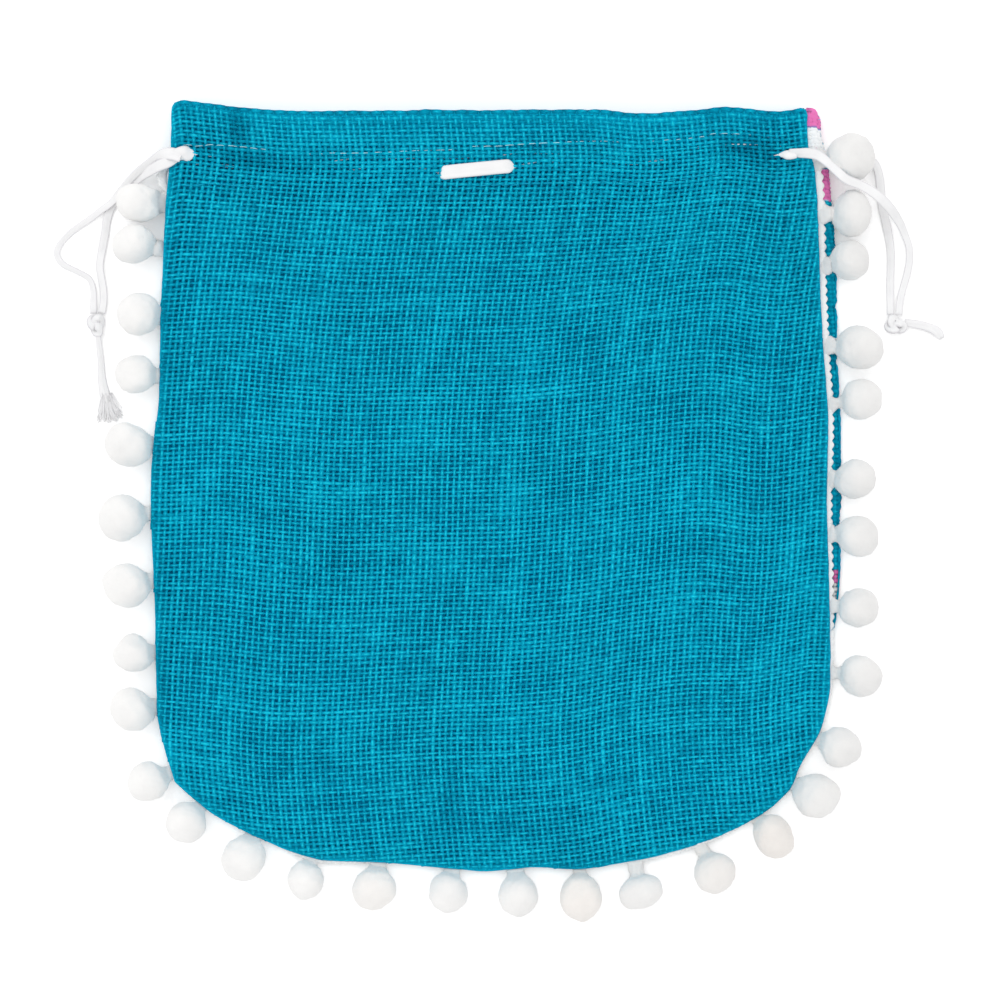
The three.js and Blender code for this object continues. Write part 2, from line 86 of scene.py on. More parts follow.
# %% [markdown]
# ## Smooth lines
# A sewn edge is never straight and never jagged. Each edge and each wave of the cloth is written
# as a few knots, which a spline joins. The spline is the one that cut the solid model, so the
# looks and the solids share their outlines. Numpy arrays go through it whole, because the
# weave has tens of thousands of points.


# %% Smooth line through knots
def smooth_line(knots):
    """A function that passes smoothly through [place, value] knots."""
    places, values = np.array(knots, float).T
    slopes = np.empty(len(places))
    slopes[1:-1] = (values[2:] - values[:-2]) / (places[2:] - places[:-2])
    slopes[0] = (values[1] - values[0]) / (places[1] - places[0])
    slopes[-1] = (values[-1] - values[-2]) / (places[-1] - places[-2])

    def line(place):
        p = np.clip(place, places[0], places[-1])
        i = np.clip(np.searchsorted(places, p, side="right") - 1, 0, len(places) - 2)
        span = places[i + 1] - places[i]
        s = (p - places[i]) / span
        return (
            values[i] * (1 + 2 * s) * (1 - s) ** 2
            + slopes[i] * span * s * (1 - s) ** 2
            + values[i + 1] * s * s * (3 - 2 * s)
            + slopes[i + 1] * span * s * s * (s - 1)
        )

    return line


def ease(t):
    """From 0 to 1 with a soft start and end."""
    t = np.clip(t, 0, 1)
    return t * t * (3 - 2 * t)


# %% [markdown]
# ## The cut of the pouch
# These are the pouch's own lines in millimetres: its two sides, its rounded bottom, its slightly
# wavy mouth and the slant of its hem. Written as shares of the length they stay right if the
# pouch is cut larger.

# %% Outline of the pouch
WIDTH, SIDE, BULGE = 197.5, 198.0, 26.0
TOP = (SIDE + BULGE) / 2
HEADER, CASING, HEM_EDGE = 11.0, 11.5, 3.0
HEM = HEADER + CASING + HEM_EDGE

left_share = smooth_line([
    [0, 0.935], [0.07, 0.938], [0.155, 0.953], [0.31, 0.971], [0.44, 0.977], [0.52, 0.996],
    [0.6, 1], [0.75, 0.988], [0.9, 0.981], [0.94, 0.966], [1, 0.93],
])
right_share = smooth_line([
    [0, 0.93], [0.067, 0.931], [0.1, 0.95], [0.163, 0.959], [0.24, 0.968], [0.33, 0.9765],
    [0.394, 0.985], [0.46, 0.994], [0.59, 0.991], [0.73, 0.9985], [0.862, 1], [0.908, 0.982],
    [0.935, 0.962], [0.977, 0.912], [1, 0.894],
])
bottom_share = smooth_line([
    [0, 0], [0.029, 0.178], [0.061, 0.357], [0.108, 0.535], [0.153, 0.68], [0.203, 0.815],
    [0.242, 0.877], [0.34, 0.904], [0.454, 0.977], [0.504, 1], [0.578, 0.955], [0.65, 0.978],
    [0.71, 0.92], [0.784, 0.82], [0.87, 0.635], [0.9275, 0.446], [0.961, 0.3], [0.992, 0.1],
    [1, 0],
])
mouth_dip = smooth_line([
    [0, 1.2], [0.015, 0.2], [0.05, 0.8], [0.1, 2.1], [0.175, 3.4], [0.26, 3.6], [0.52, 3.3],
    [0.66, 3.3], [0.74, 4.3], [0.81, 3.5], [0.87, 2.4], [0.95, 3.3], [1, 2.2],
])
hem_slant = smooth_line([
    [0, 1.4], [0.12, 0.4], [0.25, 0.4], [0.45, -0.2], [0.6, -1], [0.83, -2.9], [1, -3.4],
])


def left_x(share):
    return -WIDTH / 2 * left_share(share)


def right_x(share):
    return WIDTH / 2 * right_share(share)


def bottom_y(across):
    return TOP - SIDE - BULGE * bottom_share(across)


def mouth_y(across):
    return TOP - mouth_dip(across)


def across_mouth(x):
    """The share of the mouth's width at which x lies."""
    return np.clip((x - left_x(0.0)) / (right_x(0.0) - left_x(0.0)), 0, 1)


print("cut size in mm:", WIDTH, "x", SIDE + BULGE)

# %% [markdown]
# ## How high the back stands
# The pouch is empty and lies flat, but its two panels hold a little air and its hem is four
# layers thick. The back therefore rises from its seams to a low crown. The same rule gives the
# solids their height. The stitched rows pull the cloth down into shallow grooves.

# %% Levels of the cloth
CLOTH = 0.8
CASING_GAP = 1.1
HEM_LEVEL, BODY_LEVEL = 6.0, 2.2
MOUTH_CROWN, BODY_CROWN = 4.0, 6.2


def below_hem(depth):
    """From 0 on the hem to 1 well below it, where the thick hem no longer lifts the cloth."""
    return ease((depth - HEM - 2) / 30)


def back_level(across, depth):
    """Height of the inner face of the back panel's outer layer."""
    below = below_hem(depth)
    edge = HEM_LEVEL + (BODY_LEVEL - HEM_LEVEL) * below
    crown = MOUTH_CROWN + (BODY_CROWN - MOUTH_CROWN) * below
    rise = 1 - (1 - np.clip((SIDE - depth) / 50, 0, 1)) ** 2.2
    return edge + crown * (1 - np.abs(2 * across - 1) ** 3) * rise


def panel_place(x, y):
    """How far across and how deep a point lies, as (share of the width, mm from the mouth)."""
    share = np.clip((TOP - y) / SIDE, 0, 1)
    left, right = left_x(share), right_x(share)
    across = np.clip((x - left) / (right - left), 0, 1)
    depth = (mouth_y(across) - y) / (mouth_y(across) - bottom_y(across)) * SIDE
    return across, depth


def on_hem(across, depth):
    """(x, y) of a point of the hem, as shares of the width and mm below the mouth's edge."""
    share = depth / SIDE
    left, right = left_x(share), right_x(share)
    slant = hem_slant(across) * ease(depth / HEADER)
    return left + (right - left) * across, mouth_y(across) - depth - slant


# %% [markdown]
# ## Meshes from rings
# Yarns, ribbons, threads and the braid are all long and thin. Each could be a curve with a bevel,
# but then its section couldn't flatten, flare or fray. A ring of points at each station gives
# full control, and one helper joins the rings of many strands into one mesh.


# %% Mesh helpers
def new_object(name, points, faces, material):
    """A smooth mesh object from points in millimetres, riding on the bag's one body."""
    mesh = bpy.data.meshes.new(name)
    points = np.asarray(points, np.float32) * MM
    faces = np.asarray(faces, np.int32)
    corners = faces.shape[1]
    mesh.vertices.add(len(points))
    mesh.vertices.foreach_set("co", points.ravel())
    mesh.loops.add(faces.size)
    mesh.loops.foreach_set("vertex_index", faces.ravel())
    mesh.polygons.add(len(faces))
    mesh.polygons.foreach_set("loop_start", np.arange(0, faces.size, corners, dtype=np.int32))
    mesh.polygons.foreach_set("loop_total", np.full(len(faces), corners, np.int32))
    mesh.update(calc_edges=True)
    mesh.validate()
    mesh.polygons.foreach_set("use_smooth", np.ones(len(mesh.polygons), bool))
    mesh.materials.append(material)
    made = bpy.data.objects.new(name, mesh)
    bpy.context.collection.objects.link(made)
    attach(made, "root")
    return made


def store(made, name, values, kind="FLOAT"):
    """Stores a number, a vector or a colour for each point, which the material reads."""
    layer = made.data.attributes.new(name, kind, "POINT")
    field = {"FLOAT": "value", "FLOAT_VECTOR": "vector", "FLOAT_COLOR": "color"}[kind]
    layer.data.foreach_set(field, np.asarray(values).astype(np.float32).ravel())


def ring_faces(rings, around, closed, start=0):
    """Quads that join a run of rings, each of which has around points."""
    i = np.arange(rings - 1)[:, None] * around
    j = np.arange(around if closed else around - 1)[None, :]
    k = (j + 1) % around
    return start + np.stack([i + j, i + k, i + around + k, i + around + j], -1).reshape(-1, 4)


def unit(v):
    return v / np.maximum(np.linalg.norm(v, axis=-1, keepdims=True), 1e-9)


def line_length(points):
    """Length of a line, and how far along it each of its points lies."""
    place = np.r_[0, np.cumsum(np.linalg.norm(np.diff(points, axis=0), axis=1))]
    return place[-1], place


def along_line(points, step):
    """The same line through points, with its points one step apart, on a smooth curve."""
    points = np.asarray(points, float)
    whole, place = line_length(points)
    fine = np.linspace(0, whole, len(points) * 12)
    curve = np.stack([smooth_line(np.c_[place, points[:, a]])(fine) for a in range(3)], 1)
    whole, place = line_length(curve)
    even = np.linspace(0, whole, max(3, int(round(whole / step)) + 1))
    return np.stack([np.interp(even, place, curve[:, a]) for a in range(3)], 1)


# %% [markdown]
# ## Materials of yarn
# Dyed jute is matt: its colour comes from the fibres, and a gloss would wash it out. Each yarn is
# a little lighter or darker than its neighbour, with streaks along it where single fibres lie.
# The shade of a yarn is stored in the mesh, and a noise that follows the yarn's twist adds the
# fibres. The stored shade also holds painted light and shade: painted shade on each yarn's sides
# and in the back's dents and fold, painted light on its crest and where it passes over another,
# and a thin painted highlight along the crest. A picture of cloth would tile and blur when seen
# close, and nodes don't. Light also comes through the thin yarns, which keeps the holes of the
# weave from going black.


# %% Material helpers
def set_inputs(tree, node, inputs):
    """Gives each input of a node its value, or joins it to another node's output."""
    for name, value in inputs.items():
        if isinstance(value, bpy.types.NodeSocket):
            tree.links.new(value, node.inputs[name])
        else:
            node.inputs[name].default_value = value


def new_node(tree, kind, inputs, **settings):
    """A new shader node with its settings and inputs."""
    made = tree.nodes.new("ShaderNode" + kind)
    for name, value in settings.items():
        setattr(made, name, value)
    set_inputs(tree, made, inputs)
    return made


def principled(name, base, roughness, specular):
    """A new material, its shader and its node tree."""
    material = bpy.data.materials.new(name)
    material.use_nodes = True
    tree = material.node_tree
    shader = tree.nodes["Principled BSDF"]
    set_inputs(tree, shader, {
        "Base Color": (*base, 1), "Roughness": roughness, "Specular IOR Level": specular,
    })
    return material, shader, tree


def stored(tree, name, output="Fac"):
    """What the points of the mesh store under a name."""
    return new_node(tree, "Attribute", {}, attribute_name=name).outputs[output]


def noise(tree, scale, detail, place=None):
    """Soft noise by the place in the object, or by another place that is given."""
    if place is None:
        place = new_node(tree, "TexCoord", {}).outputs["Object"]
    inputs = {"Scale": scale, "Detail": detail, "Vector": place}
    return new_node(tree, "TexNoise", inputs).outputs["Fac"]


def maths(tree, operation, *values):
    """The result of a Math node, of sockets and numbers."""
    return new_node(tree, "Math", dict(enumerate(values)), operation=operation).outputs[0]


def mix_colours(tree, share, a, b, blend="MIX"):
    """Colour a turned into colour b by a share, which is a socket or a number."""
    inputs = {"Factor": share, "A": a, "B": b}
    return new_node(tree, "Mix", inputs, data_type="RGBA", blend_type=blend).outputs["Result"]


def add_bump(tree, shader, height, strength, distance):
    inputs = {"Strength": strength, "Distance": distance * MM, "Height": height}
    set_inputs(tree, shader, {"Normal": new_node(tree, "Bump", inputs).outputs["Normal"]})


# %% Dyed jute
DEEP_TEAL, BRIGHT_TEAL = (0.0004, 0.125, 0.225, 1), (0.003, 0.66, 0.95, 1)
# The first colour is the painted highlight along the yarns' crests; the second is the light let
# through
HIGHLIGHT_TEAL, THROUGH_TEAL = (0.022, 0.86, 1.0, 1), (0.004, 0.60, 0.88, 1)
BLACK = (0, 0, 0, 1)
STREAK, CLOUD = 0.9, 0.26
HIGHLIGHT_POWER, HIGHLIGHT_GAIN = 4.5, 2.2
# How the ink darkens with the yarn's tone: its random shade, and the painted light and shade in it
INK_TONE_AND_SHADE, INK_TONE_AND_SHADE_FROM = 1.9, -0.22
LET_THROUGH = 0.26


def jute_material(name, printed=False):
    """Teal jute whose fibres twist along each yarn, and which lets some light through."""
    material, shader, tree = principled(name, (0.003, 0.33, 0.52), 0.95, 0.02)
    shade = stored(tree, "tone")
    fibres = noise(tree, 1.0, 3.0, stored(tree, "spun", "Vector"))
    streak = maths(tree, "MULTIPLY_ADD", fibres, STREAK, -STREAK / 2)
    cloud = maths(tree, "MULTIPLY_ADD", noise(tree, 30, 2), CLOUD, -CLOUD / 2)
    tone = maths(tree, "ADD", maths(tree, "ADD", shade, streak), cloud)
    dyed = mix_colours(tree, tone, DEEP_TEAL, BRIGHT_TEAL)
    # Painted highlight: a thin pale line along each yarn's crest, brightest where it passes over
    # another
    crest_highlight = maths(tree, "POWER", stored(tree, "crest_highlight"), HIGHLIGHT_POWER)
    crest_highlight = maths(tree, "MULTIPLY", maths(tree, "MULTIPLY", crest_highlight, fibres), HIGHLIGHT_GAIN)
    colour = mix_colours(tree, crest_highlight, dyed, HIGHLIGHT_TEAL)
    let_through = LET_THROUGH
    if printed:
        outside = new_node(tree, "NewGeometry", {}).outputs["Backfacing"]
        covered = maths(tree, "MULTIPLY", stored(tree, "ink_cover"), outside)
        # The ink takes the yarn's random shade and its painted shade and light, not wear
        ink_tone_and_shade = maths(tree, "MULTIPLY_ADD", shade, INK_TONE_AND_SHADE, INK_TONE_AND_SHADE_FROM)
        inked = mix_colours(tree, ink_tone_and_shade, BLACK, stored(tree, "ink", "Color"))
        colour = mix_colours(tree, covered, colour, inked)
        let_through = maths(tree, "MULTIPLY_ADD", covered, -LET_THROUGH, LET_THROUGH)
    set_inputs(tree, shader, {"Base Color": colour})
    add_bump(tree, shader, fibres, 0.6, 0.12)
    through = new_node(tree, "BsdfTranslucent", {"Color": THROUGH_TEAL})
    both = new_node(tree, "MixShader", {
        "Fac": let_through, 1: shader.outputs["BSDF"], 2: through.outputs["BSDF"],
    })
    set_inputs(tree, tree.nodes["Material Output"], {"Surface": both.outputs["Shader"]})
    return material


jute = jute_material("teal_jute")
printed_jute = jute_material("printed_jute", printed=True)
print("materials:", jute.name, printed_jute.name)

# %% [markdown]
# ## The floor and the light
# The bag lies on a white table under a soft, even light. A world of plain white light fills the
# shadows, and one broad lamp, high over the mouth's side, gives the yarns their relief. Both
# together light a flat surface to its own colour. Only the camera sees the floor and the world a
# little brighter, so that they come out plain white and the floor keeps the bag's soft shadow.

# %% Floor, lamp and world
FILL, KEY, WORLD_SEEN, FLOOR_LIFT = 0.95, 0.50, 1.05, 0.2
KEY_FROM, KEY_BREADTH = (-0.35, 0.55, 1), 40
HALF_FLOOR, BELOW_BAG = 4.0, 0.3 * MM
WHITE = (1, 1, 1, 1)

floor_white, floor_shader, floor_tree = principled("white_table", (1.0, 1.0, 1.0), 1.0, 0.0)
seen = new_node(floor_tree, "LightPath", {}).outputs["Is Camera Ray"]
set_inputs(floor_tree, floor_shader, {
    "Emission Color": WHITE, "Emission Strength": maths(floor_tree, "MULTIPLY", seen, FLOOR_LIFT),
})
floor_mesh = bpy.data.meshes.new("floor")
floor_corners = [(-1, -1), (1, -1), (1, 1), (-1, 1)]
floor_mesh.from_pydata(
    [(x * HALF_FLOOR, y * HALF_FLOOR, 0) for x, y in floor_corners], [], [(0, 1, 2, 3)]
)
floor_mesh.materials.append(floor_white)
floor = bpy.data.objects.new("floor", floor_mesh)
floor.location.z = -BELOW_BAG
bpy.context.collection.objects.link(floor)
floor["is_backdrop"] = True

world = bpy.data.worlds.new("studio")
world.use_nodes = True
world_tree = world.node_tree
seen = new_node(world_tree, "LightPath", {}).outputs["Is Camera Ray"]
set_inputs(world_tree, world_tree.nodes["Background"], {
    "Color": WHITE, "Strength": maths(world_tree, "MULTIPLY_ADD", seen, WORLD_SEEN - FILL, FILL),
})
bpy.context.scene.world = world

key = bpy.data.objects.new("key_light", bpy.data.lights.new("key_light", "SUN"))
key.data.energy = KEY
key.data.angle = math.radians(KEY_BREADTH)
key.rotation_euler = Vector(KEY_FROM).to_track_quat("Z", "Y").to_euler()
bpy.context.collection.objects.link(key)
bpy.context.scene.view_settings.view_transform = "Standard"
print("light: world", FILL, "and lamp", KEY)

# %% [markdown]
# ## Satin ribbon
# The drawstrings are narrow satin ribbons. Satin is woven so that long threads lie on its face,
# which is why it shines in lines along the ribbon. Here a fine bump runs lengthwise, and painted
# shade makes the colour a little greyer at the ribbon's edges and in noise patches that stand for
# its folds. Each ribbon point knows where it lies across the width, so the lines follow every bend.

# %% Satin
SATIN_LINES = 70
SATIN_FACE, SATIN_SHADE = (0.885, 0.885, 0.892, 1), (0.76, 0.75, 0.775, 1)

satin, satin_shader, satin_tree = principled("white_satin", (0.9, 0.9, 0.9), 0.38, 0.3)
satin_across = stored(satin_tree, "across")
add_bump(satin_tree, satin_shader, maths(satin_tree, "SINE", satin_across), 0.12, 0.04)
# Painted shade: greyer towards the ribbon's edges and in noise patches that stand for its folds
satin_edge_shade = maths(satin_tree, "ABSOLUTE", satin_across)
satin_edge_shade = maths(satin_tree, "MULTIPLY", satin_edge_shade, 2 / SATIN_LINES)
satin_edge_shade = maths(satin_tree, "POWER", satin_edge_shade, 5.0)
satin_fold_shade = maths(satin_tree, "MULTIPLY_ADD", noise(satin_tree, 260, 2), 0.9, -0.35)
satin_painted_shade = maths(satin_tree, "MAXIMUM", satin_edge_shade, satin_fold_shade)
satin_shaded_colour = mix_colours(satin_tree, satin_painted_shade, SATIN_FACE, SATIN_SHADE)
set_inputs(satin_tree, satin_shader, {"Base Color": satin_shaded_colour})
print("material:", satin.name)


# %% [markdown]
# ## Ribbons as folded strips
# A free ribbon is rarely flat: it curls into a gutter along its length, twists, and shows its
# edge. Each strand is a strip with a curved section that is turned round its own line. The strip
# has a top and an underside, so it has the ribbon's real thickness from any side.


# %% Ribbon helper
def ribbon_rings(line, width, curl, turn, thickness=0.16, cuts=8, pleat=0.0):
    """Rings of a curled ribbon. width, curl and turn are numbers or one number for each point."""
    line = np.asarray(line, float)
    count = len(line)
    width, curl, turn = (np.broadcast_to(np.asarray(v, float), count) for v in (width, curl, turn))
    tangent = unit(np.gradient(line, axis=0))
    flat = unit(np.cross([0.0, 0, 1], tangent))
    up = np.cross(tangent, flat)
    c, s = np.cos(turn)[:, None], np.sin(turn)[:, None]
    side, face = flat * c + up * s, up * c - flat * s
    a = np.linspace(-0.5, 0.5, cuts + 1)[None, :]
    bend = np.maximum(np.abs(curl), 1e-3)[:, None]
    radius = width[:, None] / bend
    out = radius * np.sin(a * bend)
    drop = radius * (1 - np.cos(a * bend)) * np.sign(curl)[:, None]
    drop = drop - pleat * np.cos(a * 6 * math.pi)
    centre = (drop.max(1) + drop.min(1))[:, None] / 2
    top = line[:, None] + side[:, None] * out[..., None]
    top = top + face[:, None] * (centre - drop)[..., None]
    under = top - face[:, None] * thickness
    rings = np.concatenate([top, under[:, ::-1]], 1)
    across = np.r_[a[0], a[0][::-1]] * SATIN_LINES
    return rings, np.tile(across, (count, 1))


def join_rings(groups):
    """Points, quads and stored values of several runs of rings, each with closed ends."""
    points, faces, values, start = [], [], [], 0
    for rings, across in groups:
        count, around = rings.shape[:2]
        points.append(rings.reshape(-1, 3))
        values.append(across.reshape(-1))
        faces.append(ring_faces(count, around, True, start))
        faces.append(np.array([
            [base + j, base + j + 1, base + around - 2 - j, base + around - 1 - j]
            for base in (start, start + (count - 1) * around) for j in range(around // 2 - 1)
        ]))
        start += count * around
    return np.concatenate(points), np.concatenate(faces), np.concatenate(values)


def ribbon_object(name, groups, material=satin):
    """One mesh of one or more ribbons or threads."""
    points, faces, across = join_rings(groups)
    made = new_object(name, points, faces, material)
    store(made, "across", across)
    return made


# %% [markdown]
# ## The free drawstring ends
# On each side both ends of one ribbon leave the hem, wander over the table and meet in a knot.
# Their lines follow the solids.

# %% Lines of the strands
LEFT_CORNER = np.array([float(left_x(0.0853)), TOP - SIDE * 0.0853, 0])
RIGHT_CORNER = np.array([float(right_x(0.0823)), TOP - SIDE * 0.0823, 0])
STRAND_LINES = {
    "left_strand_upper": (LEFT_CORNER, [
        [3.6, 0.1, 7.9], [0.9, 0.8, 8.0], [-1.8, 0.6, 7.4], [-6.1, -1.7, 4.9], [-9.2, -3.7, 3.4],
        [-11.9, -6.1, 2.3], [-14.5, -9, 1.8], [-17.4, -12.6, 1.6], [-20.3, -14.7, 1.3],
        [-23.5, -17.1, 0.6], [-29.2, -21.2, 0.6], [-32.5, -24.7, 0.6], [-33.5, -27.5, 0.6],
        [-31.9, -30.4, 0.6], [-28, -32.5, 0.6], [-24.1, -34.8, 0.6], [-23, -37.7, 0.6],
        [-22.8, -41, 0.6], [-22.8, -44.9, 0.8],
    ]),
    "left_strand_lower": (LEFT_CORNER, [
        [2.6, -0.8, 7.3], [-0.6, -1.7, 7.2], [-3.4, -2.6, 6.2], [-6.6, -4.0, 4.0],
        [-9.6, -5.6, 2.0], [-12.4, -8, 0.8],
        [-14.5, -10, 0.6], [-16.9, -12.7, 0.6], [-18, -14.8, 0.6],
        [-18.9, -18, 0.6], [-19.4, -21.8, 0.6], [-20, -24.8, 0.6], [-20.6, -27.8, 0.6],
        [-21, -31, 0.6], [-20.6, -34.4, 0.6], [-20, -37.8, 0.6], [-19.9, -41.2, 0.6],
        [-20.4, -44.9, 0.8],
    ]),
    "right_strand_upper": (RIGHT_CORNER, [
        [-6.6, 0.9, 8.0], [-4.2, 0.2, 8.6], [-1.2, 0.2, 8.7], [1.5, -0.3, 8.8], [4.3, -2.4, 9.6],
        [6.6, -5, 11.8], [9, -7.4, 12.7], [11.5, -8.5, 11.9], [14, -9.3, 10.7],
        [16.6, -10.7, 10.5], [19.6, -13.1, 10.7], [22.4, -15.6, 9], [24.4, -17.6, 6.4],
        [26.3, -19.8, 3.8], [27.9, -22.6, 1.6], [29.2, -26, 0.8], [29.3, -30, 0.8],
        [28.5, -34.4, 0.8], [27.3, -38.4, 0.8], [26.4, -42.4, 0.8], [26.1, -45.9, 1],
    ]),
    "right_strand_lower": (RIGHT_CORNER, [
        [5.6, 0.2, 1.35], [7.5, 0.1, 1], [9.6, 0, 0.8], [12, 0, 0.8], [14.6, 0, 0.8],
        [17.2, -0.4, 0.8], [19, -1.5, 0.8], [20.2, -4.2, 0.8], [20.7, -7.4, 0.8],
        [20.9, -10.6, 0.8], [21.3, -14.4, 0.8], [22.2, -18.4, 0.8], [23, -22.6, 0.8],
        [23.6, -26.8, 0.8], [23.7, -31, 0.8], [23.6, -35.4, 0.8], [23.6, -39.8, 0.8],
        [23.7, -45.9, 1],
    ]),
}
# Width and turn of each strand, by share of its length
STRAND_WIDTH = {
    "left_strand_upper": [[0, 4.0], [0.06, 3.6], [0.13, 2.6], [0.4, 2.0], [0.62, 1.8], [1, 1.9]],
    "left_strand_lower": [[0, 1.2], [0.045, 3.0], [0.1, 3.2], [0.5, 2.5], [1, 2.2]],
    "right_strand_upper": [
        [0, 1.4], [0.035, 2.9], [0.2, 2.7], [0.5, 2.9], [0.62, 2.7], [0.8, 2.3], [1, 2.0],
    ],
    "right_strand_lower": [[0, 2.7], [0.35, 2.6], [0.6, 2.6], [0.8, 2.3], [1, 2.0]],
}
STRAND_TURN = {
    "left_strand_upper": [[0, 0.5], [0.15, -0.6], [0.4, 0.2], [0.6, -0.3], [0.8, 0.5], [1, 0]],
    "left_strand_lower": [[0, -0.3], [0.25, 0.3], [0.55, -0.25], [0.8, 0.3], [1, 0]],
    "right_strand_upper": [[0, 0.9], [0.12, 0.1], [0.3, -0.15], [0.5, 0.1], [0.7, -0.5], [1, 0.2]],
    "right_strand_lower": [[0, 0.4], [0.2, -0.3], [0.45, 0.1], [0.7, 0.5], [1, -0.1]],
}

# %% Strands
STRAND_CURL, STRAND_STEP = 0.45, 0.8

strands, strand_paths = {}, {}
for name, (corner, relative) in STRAND_LINES.items():
    path = along_line(np.array(relative) + corner, STRAND_STEP)
    share = np.linspace(0, 1, len(path))
    width = smooth_line(STRAND_WIDTH[name])(share)
    turn = smooth_line(STRAND_TURN[name])(share)
    rings = ribbon_rings(path, width, STRAND_CURL, turn, pleat=0.05)
    made = ribbon_object(name + "_satin", [rings])
    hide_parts(name)
    strands[name], strand_paths[name] = made, path
    length, _ = line_length(path)
    print(name, "is", round(length, 1), "mm long,", len(made.data.polygons), "faces")

# %% [markdown]
# ## Knots
# Each pair of ends is tied in an overhand knot. A sculpted lump would look soft all round, so the
# ribbon is led through the knot's real path: one loop with the end passed through it, drawn
# tight. The path is a trefoil line squeezed to the knot's size, and the ribbon's section on it is
# thick and narrow, as two crumpled layers are.


# %% Knots
KNOT_GATHER, KNOT_RIBBON = 0.37, 2.7


def knot_rings(centre, length, width, height, turn):
    """A ribbon led along a squeezed trefoil, turned on the table round its centre."""
    t = np.linspace(0.25, 2 * math.pi - 0.25, 90)
    x = (np.sin(t) + 2 * np.sin(2 * t)) / 3 * width * KNOT_GATHER
    y = (np.cos(t) - 2 * np.cos(2 * t)) / 3 * length * KNOT_GATHER
    path = np.stack([x, y, -np.sin(3 * t) * height * 0.2], 1)
    c, s = math.cos(turn), math.sin(turn)
    path = path @ np.array([[c, s, 0], [-s, c, 0], [0, 0, 1]]) + centre
    twist = np.sin(t * 2) * 0.6
    return ribbon_rings(path, KNOT_RIBBON, 1.3, twist, thickness=0.5, pleat=0.08)


LEFT_KNOT = LEFT_CORNER + np.array([-21.6, -48, 1.8])
RIGHT_KNOT = RIGHT_CORNER + np.array([25.1, -48.6, 1.8])
left_knot = ribbon_object("left_knot_satin", [knot_rings(LEFT_KNOT, 6.6, 4.2, 3.4, 0.1)])
right_knot = ribbon_object("right_knot_satin", [knot_rings(RIGHT_KNOT, 6.2, 5.0, 3.4, 1.2)])
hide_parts("left_knot")
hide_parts("right_knot")
print("knots at", LEFT_KNOT.round(1), RIGHT_KNOT.round(1))

# %% [markdown]
# ## Tails
# The left tail is cut and has frayed: the ribbon opens into single threads that fan out. The
# right tail is short and only folded. Frayed threads are strips a fifth of a millimetre wide that
# leave the ribbon at its end, each with its own bend.


# %% Tails
FRAYED_THREADS, THREAD_WIDTH = 110, 0.2
pick = np.random.default_rng(11)


def thread_strip(line, width):
    """Rings of a very thin thread that lies on the table."""
    return ribbon_rings(line, width, 0.8, 0.0, thickness=width * 0.6, cuts=1)


def tail_rings(line, width, curl, turn):
    """Rings of a tail, its width and turn given as knots by share of its length."""
    share = np.linspace(0, 1, len(line))
    return ribbon_rings(line, smooth_line(width)(share), curl, smooth_line(turn)(share), pleat=0.1)


left_tail_line = along_line(LEFT_CORNER + np.array([
    [-21.6, -50.4, 1.4], [-21, -55, 0.9], [-20.5, -59, 0.7], [-20.3, -63.4, 0.6],
    [-19.6, -68, 0.5], [-18.8, -71, 0.5],
]), 0.8)
left_tail_parts = [tail_rings(
    left_tail_line, [[0, 1.7], [0.5, 2.2], [0.8, 3.0], [1, 3.6]], 1.2,
    [[0, 0.4], [0.4, -0.3], [1, 0]],
)]
for _ in range(FRAYED_THREADS):
    spread = pick.uniform(-1, 1)
    length = pick.uniform(4.6, 6.4) * (1 - 0.1 * spread)
    start = left_tail_line[-1] + [spread * 1.6, pick.uniform(0, 3.2), pick.uniform(0, 0.3)]
    middle = start + [spread * 0.9 + pick.uniform(-0.2, 0.2) + 0.3, -length * 0.5, 0.1]
    end = start + [spread * 2.1 + pick.uniform(-0.3, 0.3) + 0.7, -length, -0.1]
    left_tail_parts.append(thread_strip(along_line([start, middle, end], 0.9), THREAD_WIDTH))
left_tail = ribbon_object("left_tail_satin", left_tail_parts)

right_tail_line = along_line(RIGHT_CORNER + np.array([
    [27.7, -48.2, 1.5], [31.6, -48.6, 0.9], [34.4, -49.2, 0.8], [37, -50.4, 0.8],
    [38.7, -52.8, 0.8],
]), 0.7)
right_tail = ribbon_object("right_tail_satin", [tail_rings(
    right_tail_line, [[0, 2.2], [0.5, 2.8], [0.85, 3.0], [1, 1.6]], 1.0,
    [[0, 0.3], [0.6, -0.4], [1, 0.3]],
)])
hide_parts("left_tail")
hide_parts("right_tail")
for line in (left_tail_line, right_tail_line):
    print("tail of", round(line_length(line)[0], 1), "mm")

for side, knot, tail in (("left", left_knot, left_tail), ("right", right_knot, right_tail)):
    for strand in ("upper", "lower"):
        name = f"{side}_strand_{strand}"
        path = strand_paths[name] * MM

# %% [markdown]
# ## The weave
# The cloth is the largest thing in the picture, so it is really woven: upright warp yarns, and
# weft yarns that pass over one and under the next. A bump texture on a smooth sheet would be
# lighter, but it shows no holes, no inside and no ribbon glinting through. Each yarn is a strip
# with a raised middle, which looks round from either face and costs few triangles.
#
# Cloth on a table is never square. The weft sags in long waves and the warp leans, so the place
# of a yarn in the cloth and its place on the table are joined by a few smooth lines.

# %% Waves of the weave
WARP_PITCH, WEFT_PITCH = 1.74, 1.352
MOUTH_SHIFT, BODY_SHIFT = 1.15, 2.5
